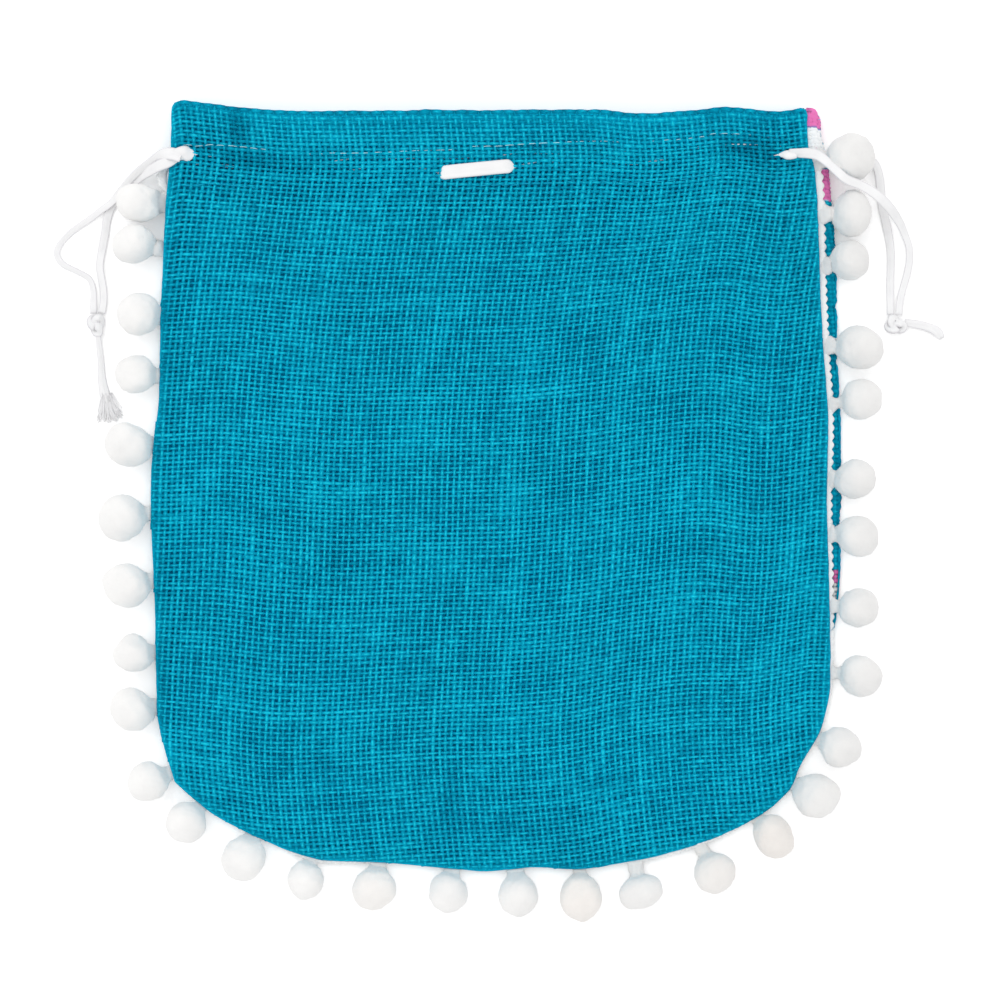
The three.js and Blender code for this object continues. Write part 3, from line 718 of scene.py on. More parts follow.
# How deep the mouth's dip and shift reach, and from where the low wave takes over
DIP_REACH, SHIFT_REACH, LOW_FROM, LOW_BY = 75, 22, 115, 80
warp_lean = smooth_line([
    [0, 7.2], [13, 8.4], [18, 8.3], [36, 5.5], [54, 2.6], [71, 0.6], [88, -0.9], [106, -1.8],
    [132, -2.9], [149, -4.1], [167, -5.3], [184, -6.1], [202, -5], [225, -2.4],
])
weft_wave_high = smooth_line([
    [-93, 0], [-76, -0.5], [-58, 1], [-41, 2], [-23, 1.7], [-6, 1.5], [11, 0.9], [29, -1],
    [46, -3.5], [64, -5.3], [81, -3.4], [98, -6],
])
weft_wave_low = smooth_line([
    [-93, 0], [-76, 1.9], [-58, 4.2], [-41, 3.6], [-23, 2.2], [-6, 1.2], [11, 0.7], [29, -1],
    [46, -4.5], [64, -6.8], [81, -7.7], [98, -11],
])


def weave_place(warp, weft):
    """(x, y) on the table of a point of the cloth, given in mm across it and down from its fold."""
    depth = np.abs(weft)
    x = warp + warp_lean(depth)
    low = ease((depth - LOW_FROM) / LOW_BY)
    body = BODY_SHIFT + weft_wave_high(warp) * (1 - low) + weft_wave_low(warp) * low
    near_mouth = 1 - ease(depth / DIP_REACH)
    shift = MOUTH_SHIFT * (1 - ease(depth / SHIFT_REACH))
    dip = mouth_dip(across_mouth(x)) * near_mouth + shift
    return x, TOP - depth - body * (1 - near_mouth) - dip


print("yarns each", WARP_PITCH, "and", WEFT_PITCH, "mm")

# %% [markdown]
# ## The sewn outline
# Every yarn ends at the seam, so each of its points has to know how far inside the seam it lies.
# A boolean cut of thousands of thin strips would be slow and leave ragged ends. Here the outline
# is a ring of points, and a yarn's stations are measured against it before the yarn is made.

# %% Outline as a ring of points
CORNER_ROUND, ABOVE_FOLD = 2.4, 1.0
DOWN_POINTS, FOOT_POINTS = 120, 160


def outline_points():
    """The left side, the foot, the right side, and two points well above the mouth."""
    down = np.linspace(0, 1, DOWN_POINTS)
    sideways = np.linspace(0, 1, FOOT_POINTS)
    x = left_x(1.0) + (right_x(1.0) - left_x(1.0)) * sideways
    left = np.stack([left_x(down), TOP - SIDE * down], 1)
    bottom = np.stack([x, bottom_y(sideways)], 1)
    right = np.stack([right_x(down[::-1]), TOP - SIDE * down[::-1]], 1)
    above = [[right_x(0.0), TOP + 30], [left_x(0.0), TOP + 30]]
    return np.concatenate([left, bottom, right, above])


OUTLINE = outline_points()


def top_edge(across):
    """The y of the mouth's fold in the looks, a little over the solid's."""
    return mouth_y(across) - MOUTH_SHIFT + ABOVE_FOLD


def inside_by(x, y):
    """How far points lie inside the sewn outline, in mm, negative outside it."""
    points = np.stack([np.ravel(x), np.ravel(y)], 1)
    a, b = OUTLINE, np.roll(OUTLINE, -1, axis=0)
    keep = np.linalg.norm(b - a, axis=1) > 1e-6
    a, b = a[keep], b[keep]
    best = np.empty(len(points))
    within = np.zeros(len(points), bool)
    for i in range(0, len(points), 4000):
        p = points[i:i + 4000, None]
        ab = b - a
        t = np.clip(((p - a) * ab).sum(-1) / (ab ** 2).sum(-1), 0, 1)
        best[i:i + 4000] = np.linalg.norm(p - a - ab * t[..., None], axis=-1).min(1)
        crosses = (a[:, 1] > p[..., 1]) != (b[:, 1] > p[..., 1])
        with np.errstate(divide="ignore", invalid="ignore"):
            at = a[:, 0] + (p[..., 1] - a[:, 1]) / (b[:, 1] - a[:, 1]) * ab[:, 0]
        within[i:i + 4000] = (crosses & (p[..., 0] < at)).sum(1) % 2 == 1
    best = np.where(within, best, -best).reshape(np.shape(x))
    round_x = CORNER_ROUND - np.minimum(x - left_x(0.0), right_x(0.0) - x)
    round_y = CORNER_ROUND - (top_edge(across_mouth(x)) - y)
    corner = CORNER_ROUND - np.hypot(round_x, round_y)
    return np.where((round_x > 0) & (round_y > 0), np.minimum(best, corner), best)


def edge_path(last, step):
    """(x, y) along the first points of the outline, begun and ended round the mouth's corners."""
    bend = np.linspace(0, math.pi / 2, 9)[:, None]
    path = []
    for side, across in ((left_x(0.0), 0.01), (right_x(0.0), 0.99)):
        inwards = -1 if side > 0 else 1
        corner = np.hstack([
            side + inwards * CORNER_ROUND * (1 - np.sin(bend)),
            top_edge(across) - CORNER_ROUND * (1 - np.cos(bend)),
        ])
        path.append(corner if side < 0 else corner[::-1])
    edge = OUTLINE[:last]
    edge = edge[edge[:, 1] < min(path[0][-1, 1], path[1][0, 1]) - 0.4]
    edge = np.vstack([path[0], edge] + ([path[1]] if last > len(OUTLINE) - 10 else []))
    return along_line(np.column_stack([edge, np.zeros(len(edge))]), step)[:, :2]


print("outline of", len(OUTLINE), "points")


# %% [markdown]
# ## Where each layer lies
# A yarn of the back panel starts inside the pouch at the hem's sewn edge, climbs the hem's inner
# layer, turns over the fold at the mouth and runs down the outside to the bottom seam. So the
# distance along it counts from the fold, negative on the inner layer. Near the seam the cloth
# turns down and under, and soft undulations keep it from looking ironed.


# %% Height of the layers
SEWN_GAP = 1.0
GROOVE_DEEP, GROOVE_WIDE = 0.4, 0.9
SWELL = 0.5
RIGHT_SIDE_X = 60
UNDER_LEFT, UNDER_RIGHT = 0.5, 0.35
# Soft dents near the ribbons' ends and the foot, which also get painted shade:
# [x, y, half width, half height, how deep]
DENTS = [
    [-73, 103, 3, 7, 1.3], [-69, 93.5, 8, 2.5, 1.2], [-84, 98, 5, 2, 0.6],
    [73, 98, 9, 3.5, 1.3], [64, 106, 4, 5, 0.7], [80, 93, 6, 3, 0.8], [-50, 92, 8, 3, 0.5],
    [-12, -93, 3, 9, 1.0], [33, -86, 8, 3, 0.8], [5, -100, 2.5, 6, 0.7], [-52, -80, 9, 3, 0.7],
]


def undulation(x, y, seed, shortest=25, longest=90):
    """A soft random swell of about one unit, with waves of the given lengths in mm."""
    pick = np.random.default_rng(seed)
    swell = np.zeros(np.shape(x))
    for _ in range(9):
        wave = 2 * math.pi / pick.uniform(shortest, longest)
        turn, phase = pick.uniform(0, math.pi), pick.uniform(0, 2 * math.pi)
        swell += np.sin((x * math.cos(turn) + y * math.sin(turn)) * wave + phase)
    return swell / 3


def dents(x, y):
    """How deep the cloth is dented, about 0 to 1 mm."""
    return sum(
        deep * np.exp(-((x - cx) / wide) ** 2 - ((y - cy) / tall) ** 2)
        for cx, cy, wide, tall, deep in DENTS
    )


def layer_drop(weft):
    """How far the hem's inner layer lies inside the outer one, at a distance from the fold."""
    depth = np.abs(weft)
    shoulder = ease((depth - HEADER) / 1.5) * ease((HEADER + CASING - depth) / 1.5)
    inner = SEWN_GAP + (CLOTH / 2 + CASING_GAP + CLOTH / 2 - SEWN_GAP) * shoulder
    return inner * ease(-weft / 1.2 + 0.5)


def stitch_groove(depth):
    """The shallow grooves that the two rows of stitches pull into the cloth."""
    rows = [np.exp(-((depth - row) / GROOVE_WIDE) ** 2) for row in (HEADER, HEADER + CASING)]
    return GROOVE_DEEP * (rows[0] + rows[1])


def back_height(x, y, weft, inside):
    """Height of the back's yarns, with the cloth turned down and under near its seam."""
    across, depth = panel_place(x, y)
    depth = np.maximum(depth, 0)
    height = back_level(across, depth) + CLOTH / 2 + SWELL * undulation(x, y, 5) * ease(inside / 12)
    height = height - stitch_groove(np.abs(weft)) * (np.abs(weft) < HEM) - layer_drop(weft)
    height = height - dents(x, y) * ease(inside / 3)
    rounded = 1 - np.clip(inside / 1.6, 0, 1)
    under = np.where(x > RIGHT_SIDE_X, UNDER_RIGHT, UNDER_LEFT)
    return height - under * (1.3 * rounded ** 2.4 + 0.5 * (1 - np.clip(inside / 6, 0, 1)) ** 2)


print("deepest dent in mm:", max(dent[-1] for dent in DENTS))


# %% [markdown]
# ## Slubby yarn
# Jute yarn is spun from coarse fibres. It swells and thins along its length, with a thick slub
# here and there that closes a hole of the weave. Each yarn gets its own run of random widths and
# shades. The random numbers come from a fixed seed, so the cloth is the same at each run.


# %% Yarn helpers
YARN_RISE = 0.2


def random_run(pick, place, spacing):
    """A smooth random value about 0 for each place along a yarn."""
    knots = np.arange(place.min() - spacing, place.max() + 2 * spacing, spacing)
    return np.interp(place, knots, pick.normal(0, 1, len(knots)))


def slubs(pick, place, every, longest):
    """Where a yarn is thick, from 0 to 1."""
    thick = np.zeros(len(place))
    for centre in pick.uniform(place.min(), place.max(), int(np.ptp(place) / every) + 1):
        half = pick.uniform(0.35, 1) * longest / 2
        thick = np.maximum(thick, np.exp(-((place - centre) / half) ** 2) * pick.uniform(0.5, 1))
    return thick


def yarn_rings(line, side, width, crest):
    """Three points for each station: an edge, the raised middle and the other edge."""
    up = crest * YARN_RISE
    half = side * (width / 2)[:, None]
    return np.stack([line - half - up, line + up, line + half - up], 1)


def inside_runs(place, inside):
    """The stretches of a yarn that lie inside, each as places with its ends on the edge."""
    within = np.r_[False, inside > 0, False]
    starts = np.flatnonzero(~within[:-1] & within[1:])
    ends = np.flatnonzero(within[:-1] & ~within[1:]) - 1
    for low, high in zip(starts, ends):
        run = place[low:high + 1]
        if low > 0:
            part = inside[low] / (inside[low] - inside[low - 1])
            run = np.r_[run[0] + (place[low - 1] - run[0]) * part, run]
        if high < len(place) - 1:
            part = inside[high] / (inside[high] - inside[high + 1])
            run = np.r_[run, run[-1] + (place[high + 1] - run[-1]) * part]
        if len(run) > 4:
            yield run


# %% What a yarn stores
# Painted shade on a yarn's sides, painted light on its crest, lighter where it passes over another
# yarn and darker where it passes under
SIDE_PAINTED_SHADE, CREST_PAINTED_LIGHT, OVER_PAINTED_SHADING = -0.09, 0.07, 0.16


def yarn_values(width, over, shade, place, index):
    """What a yarn's points store: tone with painted shade, a painted crest highlight, and place
    along its twisted fibres.
    """
    tone = 0.5 + shade[:, None] + np.array([SIDE_PAINTED_SHADE, CREST_PAINTED_LIGHT, SIDE_PAINTED_SHADE])
    tone = tone + OVER_PAINTED_SHADING * over[:, None]
    bright = np.clip(0.66 + 0.42 * over + 1.6 * shade, 0, 1.15)
    crest_highlight = np.array([0.0, 1.0, 0.0]) * bright[:, None]
    twist = np.array([-0.5, 0.0, 0.5])[None, :] * width[:, None]
    lay = place[:, None] + twist * 1.1
    spun = np.stack([lay * 0.9, twist * 5 - lay * 0.5, 0 * lay + index * 7.3], -1)
    return [tone.reshape(-1), crest_highlight.reshape(-1), spun.reshape(-1, 3)]


def join_yarns(groups):
    """Points, quads and stored values of many yarns as one mesh."""
    faces, start = [], 0
    for rings, _ in groups:
        faces.append(ring_faces(len(rings), 3, False, start))
        start += len(rings) * 3
    points = np.concatenate([rings.reshape(-1, 3) for rings, _ in groups])
    return points, np.concatenate(faces), np.concatenate([values for _, values in groups])


def yarn_object(name, points, faces, values, material):
    """An object woven of yarns, with the values that its material reads."""
    made = new_object(name, points, faces, material)
    store(made, "tone", values[:, 0])
    store(made, "crest_highlight", values[:, 1])
    store(made, "spun", values[:, 2:5], "FLOAT_VECTOR")
    return made


# %% Weaving one set of yarns
SLUB_EVERY, SLUB_LONGEST = 120, 11
WARP_SHORT, WEFT_SHORT = 0.42, 0.3


def weave_yarns(panel, upright, seed):
    """Points, quads and the stored values of all warp yarns, or of all weft yarns."""
    pick = np.random.default_rng(seed)
    groups = []
    pitch, crossing = (WARP_PITCH, WEFT_PITCH) if upright else (WEFT_PITCH, WARP_PITCH)
    own_span, span = (panel["warp"], panel["weft"]) if upright else (panel["weft"], panel["warp"])
    whole = np.arange(math.ceil(span[0] / crossing) * 2, span[1] / crossing * 2) / 2 * crossing
    for index in range(math.ceil(own_span[0] / pitch), math.floor(own_span[1] / pitch) + 1):
        # Each yarn wanders a little, swells, thickens at its slubs and changes its shade
        shift = random_run(pick, whole, 9) * 0.07 + random_run(pick, whole, 60) * 0.06
        thick_all = slubs(pick, whole, SLUB_EVERY, SLUB_LONGEST)
        swell = 0.08 * random_run(pick, whole, 2.2) + 0.07 * random_run(pick, whole, 20)
        shade_all = 0.04 * pick.normal() + 0.05 * random_run(pick, whole, 6)
        shade_all = shade_all + 0.06 * random_run(pick, whole, 1.7)
        own = index * pitch + shift
        warp, weft = (own, whole) if upright else (whole, own)
        inside = panel["lay"](warp, weft) - (WARP_SHORT if upright else WEFT_SHORT)
        for place in inside_runs(whole, inside):
            own = index * pitch + np.interp(place, whole, shift)
            warp, weft = (own, place) if upright else (place, own)
            over = np.cos(math.pi * (place / crossing + index + (0 if upright else 1)))
            line, side, crest, painted_shading = panel["point"](warp, weft, over, upright)
            thick = np.interp(place, whole, thick_all)
            width = panel["yarn"][0 if upright else 1] * (
                1 + np.interp(place, whole, swell) * panel["uneven"] + 0.35 * thick
            )
            loose = panel["patchy"] * undulation(
                line[:, 0], line[:, 1], seed=9, shortest=9, longest=34
            )
            width = np.clip(width * (1 - loose), 0.5, 2.1) * (1 + 0.05 * over)
            if not upright:
                # The wefts lie closed up where the cloth turns over its fold
                width = width * (1 + 0.75 * np.exp(-(weft / 1.5) ** 2))
            # The panel's painted light and shade is added to the yarn's own random shade
            shade = np.interp(place, whole, shade_all) + 0.06 * thick + painted_shading
            rings = yarn_rings(line, side, width, crest)
            values = yarn_values(width, over, shade, place, index)
            values += [np.repeat(warp, 3), np.repeat(weft, 3)]
            groups.append((rings, np.column_stack(values)))
    return join_yarns(groups)

# %% [markdown]
# ## The back panel
# Both sets of yarns of a panel follow one layout: a rule for how far inside the cloth a place
# lies, and one for where a yarn's point is on the bag. Warp and weft become two meshes, because
# each of them alone is already the heaviest piece of the scene.

# %% Back panel's layout
CRIMP = 0.2
SEAM_CLEAR = 0.05
FOLD_RISE = 0.22


def side_of(x, y, upright):
    """The level direction across a yarn. A warp's points left and a weft's points down."""
    along = unit(np.stack([np.gradient(x), np.gradient(y), np.zeros(len(x))], 1))
    side = np.cross(along, [0, 0, 1.0])
    wrong = (side[:, 0] > 0) if upright else (side[:, 1] > 0)
    return np.where(wrong[:, None], -side, side)


def back_lay(warp, weft):
    """How far a place in the cloth lies inside the panel."""
    return inside_by(*weave_place(warp, weft)) - SEAM_CLEAR


def back_point(warp, weft, over, upright):
    """A yarn's line, the direction across it, its outer side and its painted shade."""
    x, y = weave_place(warp, weft)
    fold = FOLD_RISE * (1 - np.clip(np.abs(weft) / 0.8, 0, 1) ** 2)
    z = back_height(x, y, weft, inside_by(x, y)) + CRIMP * over
    crest = np.zeros((len(x), 3))
    crest[:, 2] = np.where(weft > -0.3, 1, -1)
    line = np.stack([x, y + fold, z], 1)
    # Painted shade: the cloth is darker in its dents and along the fold at the mouth
    painted_shading = -0.20 * dents(x, y) - 0.22 * np.exp(-(weft / 0.7) ** 2)
    return line, side_of(x, y, upright), crest, painted_shading


back_panel = {
    "warp": (-112, 112), "weft": (-HEM, 232), "lay": back_lay, "point": back_point,
    "yarn": (0.91, 0.775), "uneven": 1.15, "patchy": 0.09,
}

# %% Back panel
for upright, name, seed in ((True, "back_warp", 21), (False, "back_weft", 22)):
    points, faces, values = weave_yarns(back_panel, upright, seed)
    yarn_object(name, points, faces, values, jute)
    print(name, "triangles:", 2 * len(faces))
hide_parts("back_panel")

# %% [markdown]
# ## The printed front
# The front panel faces the table, so only its right edge shows: the cloth rolls up there, over
# and back to the seam. It is woven in the same way, and laid flat instead of crowned. The line
# that a weft yarn follows at the right is a half circle, as high as the seam.
#
# The print that shows is a few plain fields of pink and white and one thin violet line. Each is
# an oval, worked out from a yarn point's place in the cloth, so the ink follows the yarns over
# the roll. The rest of the front is hidden and stays plain.


# %% Print
PINK, INK_WHITE, VIOLET = (0.87, 0.19, 0.50), (0.98, 0.985, 0.99), (0.17, 0.20, 0.52)
INK_COVER = 0.97
INK_FROM_X, INK_FROM_Y = 91.5, -4
# Fields of the print near the right edge: [x, mm below the mouth, half width, half height, ink]
OVALS = [
    [99, 8.6, 14, 8.5, INK_WHITE], [98, 0.2, 13, 4.7, PINK], [108, 12.4, 6, 1.6, PINK],
    [101, 23.7, 9, 5.2, PINK], [94.6, 6.6, 1.6, 2.2, PINK], [94, 4.8, 12, 0.5, VIOLET],
    [101, 148, 12, 6.5, INK_WHITE], [102, 143.2, 9, 2.6, PINK], [102, 153.6, 9, 2.4, PINK],
]


def print_on(warp, weft):
    """Colour of the ink, as red, green, blue and alpha, and how much it covers."""
    x = warp + warp_lean(np.abs(weft))
    ink = np.tile(np.array([*INK_WHITE, 1]), (len(x), 1))
    cover = np.zeros(len(x))
    for px, py, wide, tall, colour in OVALS:
        within = np.hypot((x - px) / wide, (weft - py) / tall) < 1
        within = within & (weft > INK_FROM_Y) & (x > INK_FROM_X)
        ink[within, :3] = colour
        cover[within] = INK_COVER
    return ink, cover


# %% Front panel's layout
FRONT_BASE = 0.55
ROLL_BELOW_SEAM, ROLL_ENDS = 1.35, 0.77
# Painted light on the flat front and on the top of its roll, and painted shade on the roll lower
# down
LEVEL_PAINTED_LIGHT, ROLL_PAINTED_LIGHT, LOW_ROLL_PAINTED_SHADE = 0.12, 0.14, -0.34
# How far the front rolls out past the seam, by share of the side
rolled_edge = smooth_line([
    [0, 3.2], [0.02, 3.9], [0.053, 4.2], [0.07, 4.8], [0.116, 4.1], [0.2, 4.6], [0.29, 4.1],
    [0.44, 3.0], [0.585, 3.6], [0.67, 2.9], [0.72, 2.2], [0.76, 1.2], [0.79, 0.3], [1, 0],
])


def roll_sizes(y):
    """Where the right seam is, how far the front rolls past it and half how high, at a y."""
    share = np.clip((TOP - y) / SIDE, 0, 1)
    level = back_level(np.ones(np.shape(y)), share * SIDE)
    tall = (level - ROLL_BELOW_SEAM - FRONT_BASE) / 2
    return right_x(share), np.maximum(rolled_edge(share), 0.3), tall


def roll_arc(reach, tall):
    """Length of the cloth over the roll, which is half an ellipse."""
    return math.pi * np.sqrt((reach ** 2 + tall ** 2) / 2)


def front_lay(warp, weft):
    """How far a place in the cloth lies inside the panel, or inside the rolled edge."""
    x, y = weave_place(warp, weft)
    seam, reach, tall = roll_sizes(y)
    within = inside_by(np.minimum(x, seam - 2.5), y) - SEAM_CLEAR
    inner_layer = np.where(weft < -0.6, seam - 1 - x, 50)
    room = np.minimum(np.minimum(within, inner_layer), roll_arc(reach, tall) + 0.6 - (x - seam))
    below_roll = ease((TOP - y - ROLL_ENDS * SIDE) / 10) * ease((x - RIGHT_SIDE_X) / 10)
    return room - 2.6 * below_roll


def front_lift(x, inside):
    """The front's edge rises to the seam, so that the seam closes."""
    return 0.6 * (1 - np.clip(inside / 5, 0, 1)) ** 2 * (x < RIGHT_SIDE_X)


def front_point(warp, weft, over, upright):
    """A yarn's line, the direction across it, its outer side and its painted light and shade."""
    x, y = weave_place(warp, weft)
    seam, reach, tall = roll_sizes(y)
    inside = inside_by(np.minimum(x, seam - 3), y)
    arc = roll_arc(reach, tall)
    past = np.maximum(x - seam, 0)
    angle = np.minimum(past / arc, 1) * math.pi
    rolled = np.where(past > 0, seam + reach * np.sin(angle) - np.maximum(past - arc, 0), x)
    z = FRONT_BASE + layer_drop(weft) * (angle < 0.1) + front_lift(x, inside)
    z = z + tall * (1 - np.cos(angle))
    outwards = np.stack([tall * np.sin(angle), 0 * angle, -reach * np.cos(angle)], 1)
    outwards = unit(np.where((angle > 0)[:, None], outwards, [0.0, 0.0, -1.0]))
    crest = np.where((weft > -0.3)[:, None], outwards, -outwards)
    side = side_of(x, y, upright)
    if upright:
        side = np.stack([outwards[:, 2], 0 * angle, -outwards[:, 0]], 1)
    cut_round = 2.6 * np.sin(angle) ** 3 * np.exp(-np.maximum(weft, 0) / 4)
    line = np.stack([rolled, y - cut_round, z], 1) + outwards * (CRIMP * over)[:, None]
    # Painted light on the top of the roll and painted shade lower down; the flat front is painted
    # lighter
    shaded = ROLL_PAINTED_LIGHT + LOW_ROLL_PAINTED_SHADE * ease((TOP - y - 32) / 6)
    return line, side, crest, np.where(past > 0, shaded, LEVEL_PAINTED_LIGHT)


front_panel = {
    "warp": (-112, 118), "weft": (-HEM, 232), "lay": front_lay, "point": front_point,
    "yarn": (1.8, 1.45), "uneven": 0.4, "patchy": 0.0,
}

# %% Front panel
for upright, name, seed in ((True, "front_warp", 31), (False, "front_weft", 32)):
    points, faces, values = weave_yarns(front_panel, upright, seed)
    made = yarn_object(name, points, faces, values, printed_jute)
    ink, cover = print_on(values[:, 5], values[:, 6])
    store(made, "ink_cover", cover)
    store(made, "ink", ink, "FLOAT_COLOR")
    print(name, "triangles:", 2 * len(faces))
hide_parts("front_panel")

# %% [markdown]
# ## The turned-in edges
# Inside the seam each panel's cut edge is folded in, so the yarns don't end in a comb: they end
# on a second layer of cloth. A full second layer would double the triangles for a few visible
# tenths of a millimetre, so it is one strip right under the yarns' ends, in the jute's material,
# with painted shade that darkens it where it lies deeper under the yarns.

# %% Turned-in edges
# Section of a turned-in edge: how far inside the seam, how much below the yarns, and its tone,
# which is painted shade: darker where the strip lies deeper under the yarns
TURNED_EDGE = [[0.15, 1.0, 0.36], [0.0, 0.3, 0.54], [0.3, 0.08, 0.66], [0.8, 0.2, 0.46],
               [1.4, 0.4, 0.25], [4.2, 0.8, 0.1]]
EDGE_STEP = 0.6


def turned_edge(name, height, last, seed):
    """The cloth folded in along the seam, as a strip right under the yarns' ends."""
    pick = np.random.default_rng(seed)
    edge = edge_path(last, EDGE_STEP)
    along = unit(np.gradient(edge, axis=0))
    inwards = np.stack([-along[:, 1], along[:, 0]], 1)
    place = np.arange(len(edge)) * EDGE_STEP
    wander = 0.05 * random_run(pick, place, 3)
    rings, values = [], []
    for row, (offset, below, tone) in enumerate(TURNED_EDGE):
        x, y = (edge + inwards * (offset + wander)[:, None]).T
        ripple = 0.06 * np.cos(math.pi * place / 0.85 + row)
        rings.append(np.stack([x, y, height(x, y, offset + 0 * x) - below + ripple], 1))
        # Painted shade from the section's tone, with a random shade on top
        shade = tone + 0.08 * random_run(pick, place, 1.2) + 0.06 * random_run(pick, place, 6)
        spun = [place * 0.9, offset * 5 - place * 0.5, 0 * place + 3.1]
        values.append(np.column_stack([shade, 0 * x, *spun]))
    points = np.stack(rings, 1).reshape(-1, 3)
    values = np.stack(values, 1).reshape(len(points), -1)
    faces = ring_faces(len(edge), len(TURNED_EDGE), False)
    return yarn_object(name, points, faces, values, jute)


def back_edge_height(x, y, inside):
    return back_height(x, y, 100 + 0 * x, inside)


def front_edge_height(x, y, inside):
    return FRONT_BASE + 1.3 + front_lift(x, inside) - 0.7 * np.clip(inside / 4, 0, 1)


back_last = len(OUTLINE) - 2
front_last = back_last - DOWN_POINTS
back_edge = turned_edge("back_turned_edge", back_edge_height, back_last, 23)
front_edge = turned_edge("front_turned_edge", front_edge_height, front_last, 33)
print("turned-in edges:", len(back_edge.data.polygons), len(front_edge.data.polygons), "faces")

# %% [markdown]
# ## The braid in the seam
# The pompoms are sold on a narrow white braid with scalloped edges. It is sewn into the seam, so
# most of it is hidden. On the right, where the seam rolls over, its scallops show. The braid is a
# strip that follows the seam, its outer edge swelling at each scallop, with a raised cord along
# its middle.

# %% Seam line
TAPE_START = 0.07
TAPE_ON_HEM, TAPE_RISE = 2.7, 0.7


def seam_line():
    """Points of the seam down the left side, round the foot and up the right side."""
    left = TAPE_START + (1 - TAPE_START) * np.arange(40) / 40
    foot = np.arange(60)
    foot_x = left_x(1.0) + (right_x(1.0) - left_x(1.0)) * foot / 60
    right = 1 - (1 - TAPE_START) * np.arange(41) / 40
    return np.concatenate([
        np.stack([left_x(left), TOP - SIDE * left], 1),
        np.stack([foot_x, bottom_y(foot / 60)], 1),
        np.stack([right_x(right), TOP - SIDE * right], 1),
    ])


SEAM = seam_line()
SEAM_LENGTH, SEAM_PLACE = line_length(SEAM)


def at_seam(place):
    return np.stack([np.interp(place, SEAM_PLACE, SEAM[:, a]) for a in (0, 1)], 1)


def on_seam(place):
    """Point, outward direction and level of the tape, at distances along the seam."""
    place = np.atleast_1d(place).astype(float)
    point = at_seam(place)
    along = unit(at_seam(place + 6) - at_seam(place - 6))
    outward = np.stack([along[:, 1], -along[:, 0]], 1)
    level = TAPE_ON_HEM + (CLOTH - TAPE_ON_HEM) * below_hem(TOP - point[:, 1]) + TAPE_RISE
    return point, outward, level


print("seam length in mm:", round(SEAM_LENGTH))

# %% Braid
cotton, cotton_shader, cotton_tree = principled("white_cotton", (0.90, 0.905, 0.905), 0.9, 0.1)
add_bump(cotton_tree, cotton_shader, noise(cotton_tree, 1500, 2), 0.6, 0.2)

SCALLOP, SCALLOP_DEPTH = 2.5, 0.7
BRAID_STEP, BRAID_THICK, BELOW_SEAM = 0.31, 0.4, 0.95
# Section of the braid: how far out from the seam's edge, and how high
BRAID_SECTION = [[-2.4, -0.3], [-1.6, -0.1], [-0.6, 0.2], [0.0, 0.16], [0.5, 0.1], [1.0, 0]]
# How far the braid stands out of the seam, by share of the seam's length
braid_show = smooth_line([
    [0, 0.4], [0.008, 0.8], [0.0125, 2.9], [0.019, 2.5], [0.024, -0.2], [0.03, -1.0],
    [0.385, -1.0], [0.4, 0.2], [0.43, 0.2],
    [0.45, -1.0], [0.56, -1.0], [0.575, 0.1], [0.61, 0.3], [0.65, -0.6], [0.69, -0.2],
    [0.74, 0.5], [0.78, 0.8], [0.86, 1.2], [0.93, 1.4], [0.98, 1.7], [1, 1.7],
])
place = np.arange(0, SEAM_LENGTH, BRAID_STEP)
point, outward, level = on_seam(place)
show = braid_show(place / SEAM_LENGTH)
scallop = np.abs(np.sin(math.pi * place / SCALLOP)) * SCALLOP_DEPTH
right_side = ease((place / SEAM_LENGTH - 0.66) / 0.08)
seam_level = back_level(np.ones(len(place)), TOP - point[:, 1])
braid_height = level + (seam_level - BELOW_SEAM - level) * right_side
braid_rings = []
for across, height in BRAID_SECTION:
    offset = np.where(across < 0, show + across, show + across * scallop)
    ripple = 0.08 * np.cos(2 * math.pi * place / SCALLOP * 2) * (across > -1)
    braid_rings.append(
        np.stack([*(point + outward * offset[:, None]).T, braid_height + height + ripple], 1)
    )
rings = np.stack(braid_rings, 1)
rings = np.concatenate([rings, rings[:, ::-1] - [0, 0, BRAID_THICK]], 1)
points, faces, _ = join_rings([(rings, np.zeros(rings.shape[:2]))])
braid = new_object("braid", points, faces, cotton)
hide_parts("trim_tape")
print("braid:", len(faces), "faces")

# %% [markdown]
# ## Pompoms
# A pompom on such a trim is a bundle of fine yarn, tied at the braid and trimmed to a ball. From
# a small distance it is a smooth matt ball on a fibrous neck, and no two are the same: some are
# round, some pear-shaped, some lean on their neighbour. Each starts from a turned profile that
# runs from neck to ball, and is pushed about by soft noise. Short loose fibres stand off it.

# %% Pompom yarn
YARN_SHADE, YARN_LIGHT = (0.90, 0.895, 0.89, 1), (1.07, 1.06, 1.045, 1)

yarn_white, yarn_shader, yarn_tree = principled("white_yarn", (0.87, 0.87, 0.865), 1.0, 0.02)
neck_fibres = noise(yarn_tree, 1.0, 4.0, stored(yarn_tree, "spun", "Vector"))
yarn_clouds = mix_colours(yarn_tree, noise(yarn_tree, 130, 3), YARN_SHADE, YARN_LIGHT)
own_colour = stored(yarn_tree, "pompom_colour", "Color")
set_inputs(yarn_tree, yarn_shader, {
    "Sheen Weight": 0.35, "Sheen Roughness": 0.6,
    "Base Color": mix_colours(yarn_tree, 1, own_colour, yarn_clouds, "MULTIPLY"),
})
add_bump(yarn_tree, yarn_shader, neck_fibres, 0.45, 0.35)
print("material:", yarn_white.name)

